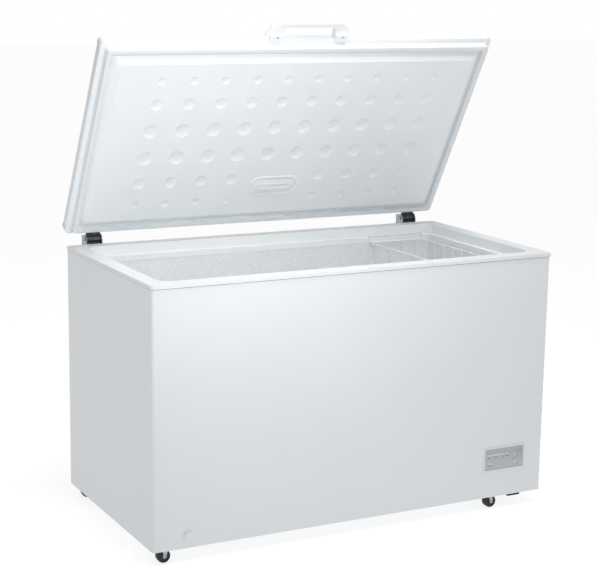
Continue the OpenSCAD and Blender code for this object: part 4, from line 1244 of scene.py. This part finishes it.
class FREEZER_OT_stage(bpy.types.Operator):
    """Pale floor, soft light and the camera."""

    bl_idname = "freezer.stage"
    bl_label = "Stage"

    def execute(self, context):
        """The camera stands at a distance from its target, turned by azimuth and elevation."""
        stage = context.scene.freezer_stage
        self.camera(context.scene, stage)
        self.floor(stage)
        self.surroundings(context.scene, stage)
        spread = stage.key_spread
        self.lamp("key_light", stage.key, 0.8, (-0.9, -2.9, 1.9), (-0.3, 0.2, 1.05), spread)
        self.lamp("top_light", stage.top, 1.6, (0.1, -0.6, 2.9), (0.0, 0.1, 0.6), math.pi)
        context.scene.view_settings.view_transform = "Standard"
        return {"FINISHED"}

    def camera(self, scene, stage):
        """Looks from the target's distance along azimuth and elevation, then rolls."""
        data = bpy.data.cameras.new("camera")
        data.lens = stage.lens
        data.sensor_width = 36.0
        data.sensor_fit = "HORIZONTAL"
        camera = bpy.data.objects.new("camera", data)
        scene.collection.objects.link(camera)
        a, e = stage.azimuth, stage.elevation
        look = np.array([-math.sin(a) * math.cos(e), math.cos(a) * math.cos(e), -math.sin(e)])
        right = np.cross(look, [0, 0, 1.0])
        right /= np.linalg.norm(right)
        up = np.cross(right, look)
        c, s = math.cos(stage.roll), math.sin(stage.roll)
        right, up = c * right + s * up, c * up - s * right
        matrix = np.eye(4)
        matrix[:3, :3] = np.column_stack([right, up, -look])
        matrix[:3, 3] = np.array(stage.target) - look * stage.distance
        camera.matrix_world = Matrix(matrix.tolist())
        scene.camera = camera

    def floor(self, stage):
        """A flat square that glows a little, so that it stays pale right up to the casters."""
        mesh = bpy.data.meshes.new("floor")
        side = 30.0
        square = [(-side, -side, 0), (side, -side, 0), (side, side, 0), (-side, side, 0)]
        mesh.from_pydata(square, [], [(0, 1, 2, 3)])
        material, tree, shader, _ = blank("pale_studio_floor", Roughness=0.7)
        shader.inputs["Base Color"].default_value = (*stage.floor, 1.0)
        shader.inputs["Emission Color"].default_value = (1.0, 1.0, 1.0, 1.0)
        seen = add(tree, "LightPath").outputs["Is Camera Ray"]
        glow = {3: stage.floor_glow * 0.8, 4: stage.floor_glow}
        connect(tree, shader, Emission_Strength=add(tree, "MapRange", glow, {0: seen}).outputs[0])
        mesh.materials.append(material)
        floor = bpy.data.objects.new("floor", mesh)
        bpy.context.scene.collection.objects.link(floor)

    def surroundings(self, scene, stage):
        """White all round: bright behind the freezer, softer as a source of light."""
        world = bpy.data.worlds.new("studio")
        world.use_nodes = True
        tree = world.node_tree
        tree.nodes.clear()
        seen = add(tree, "LightPath").outputs["Is Camera Ray"]
        soft = add(tree, "Background", {"Color": (1, 1, 1, 1), "Strength": stage.ambient})
        bright = add(tree, "Background", {"Color": (1, 1, 1, 1), "Strength": 1.0})
        mix = add(tree, "MixShader", links={0: seen, 1: soft.outputs[0], 2: bright.outputs[0]})
        add(tree, "OutputWorld", links={"Surface": mix.outputs[0]})
        scene.world = world

    def lamp(self, name, power, side, at, towards, spread):
        """A square soft light at a place, facing a point, its beam spread over an angle."""
        data = bpy.data.lights.new(name, "AREA")
        data.energy = power
        data.size = side
        data.spread = spread
        lamp = bpy.data.objects.new(name, data)
        bpy.context.scene.collection.objects.link(lamp)
        way = Vector(towards) - Vector(at)
        lamp.location = at
        lamp.rotation_euler = way.to_track_quat("-Z", "Y").to_euler()


STEPS = (
    FREEZER_OT_stage,
    FREEZER_OT_cabinet,
    FREEZER_OT_rim,
    FREEZER_OT_vent,
    FREEZER_OT_lid_shell,
    FREEZER_OT_lid_liner,
    FREEZER_OT_gasket,
    FREEZER_OT_handle,
    FREEZER_OT_lamp,
    FREEZER_OT_hinges,
    FREEZER_OT_basket,
    FREEZER_OT_panel,
    FREEZER_OT_drain,
    FREEZER_OT_casters,
    FREEZER_OT_machine_bay,
)


class FREEZER_PT_panel(bpy.types.Panel):
    """Sidebar panel with the settings and one button for each step."""

    bl_idname = "FREEZER_PT_panel"
    bl_label = "Chest freezer"
    bl_space_type = "VIEW_3D"
    bl_region_type = "UI"
    bl_category = "Freezer"

    def draw(self, context):
        """Settings first, then the steps in the order they are run."""
        scene = context.scene
        for group in (scene.freezer_sizes, scene.freezer_colours, scene.freezer_stage):
            for name in group.__annotations__:
                self.layout.prop(group, name)
        for step in STEPS:
            self.layout.operator(step.bl_idname)


CLASSES = (FreezerSizes, FreezerColours, FreezerStage, *STEPS, FREEZER_PT_panel)


def register():
    """Registers every class and hangs the settings on the scene."""
    for each in CLASSES:
        bpy.utils.register_class(each)
    bpy.types.Scene.freezer_sizes = PointerProperty(type=FreezerSizes)
    bpy.types.Scene.freezer_colours = PointerProperty(type=FreezerColours)
    bpy.types.Scene.freezer_stage = PointerProperty(type=FreezerStage)


def unregister():
    """Takes the settings and every class away again."""
    del bpy.types.Scene.freezer_stage
    del bpy.types.Scene.freezer_colours
    del bpy.types.Scene.freezer_sizes
    for each in reversed(CLASSES):
        bpy.utils.unregister_class(each)


def main():
    """Builds the freezer."""
    register()
    dress_nodes()
    for step in STEPS:
        getattr(bpy.ops.freezer, step.bl_idname.split(".")[1])()
    bpy.context.view_layer.update()


if __name__ == "__main__":
    main()
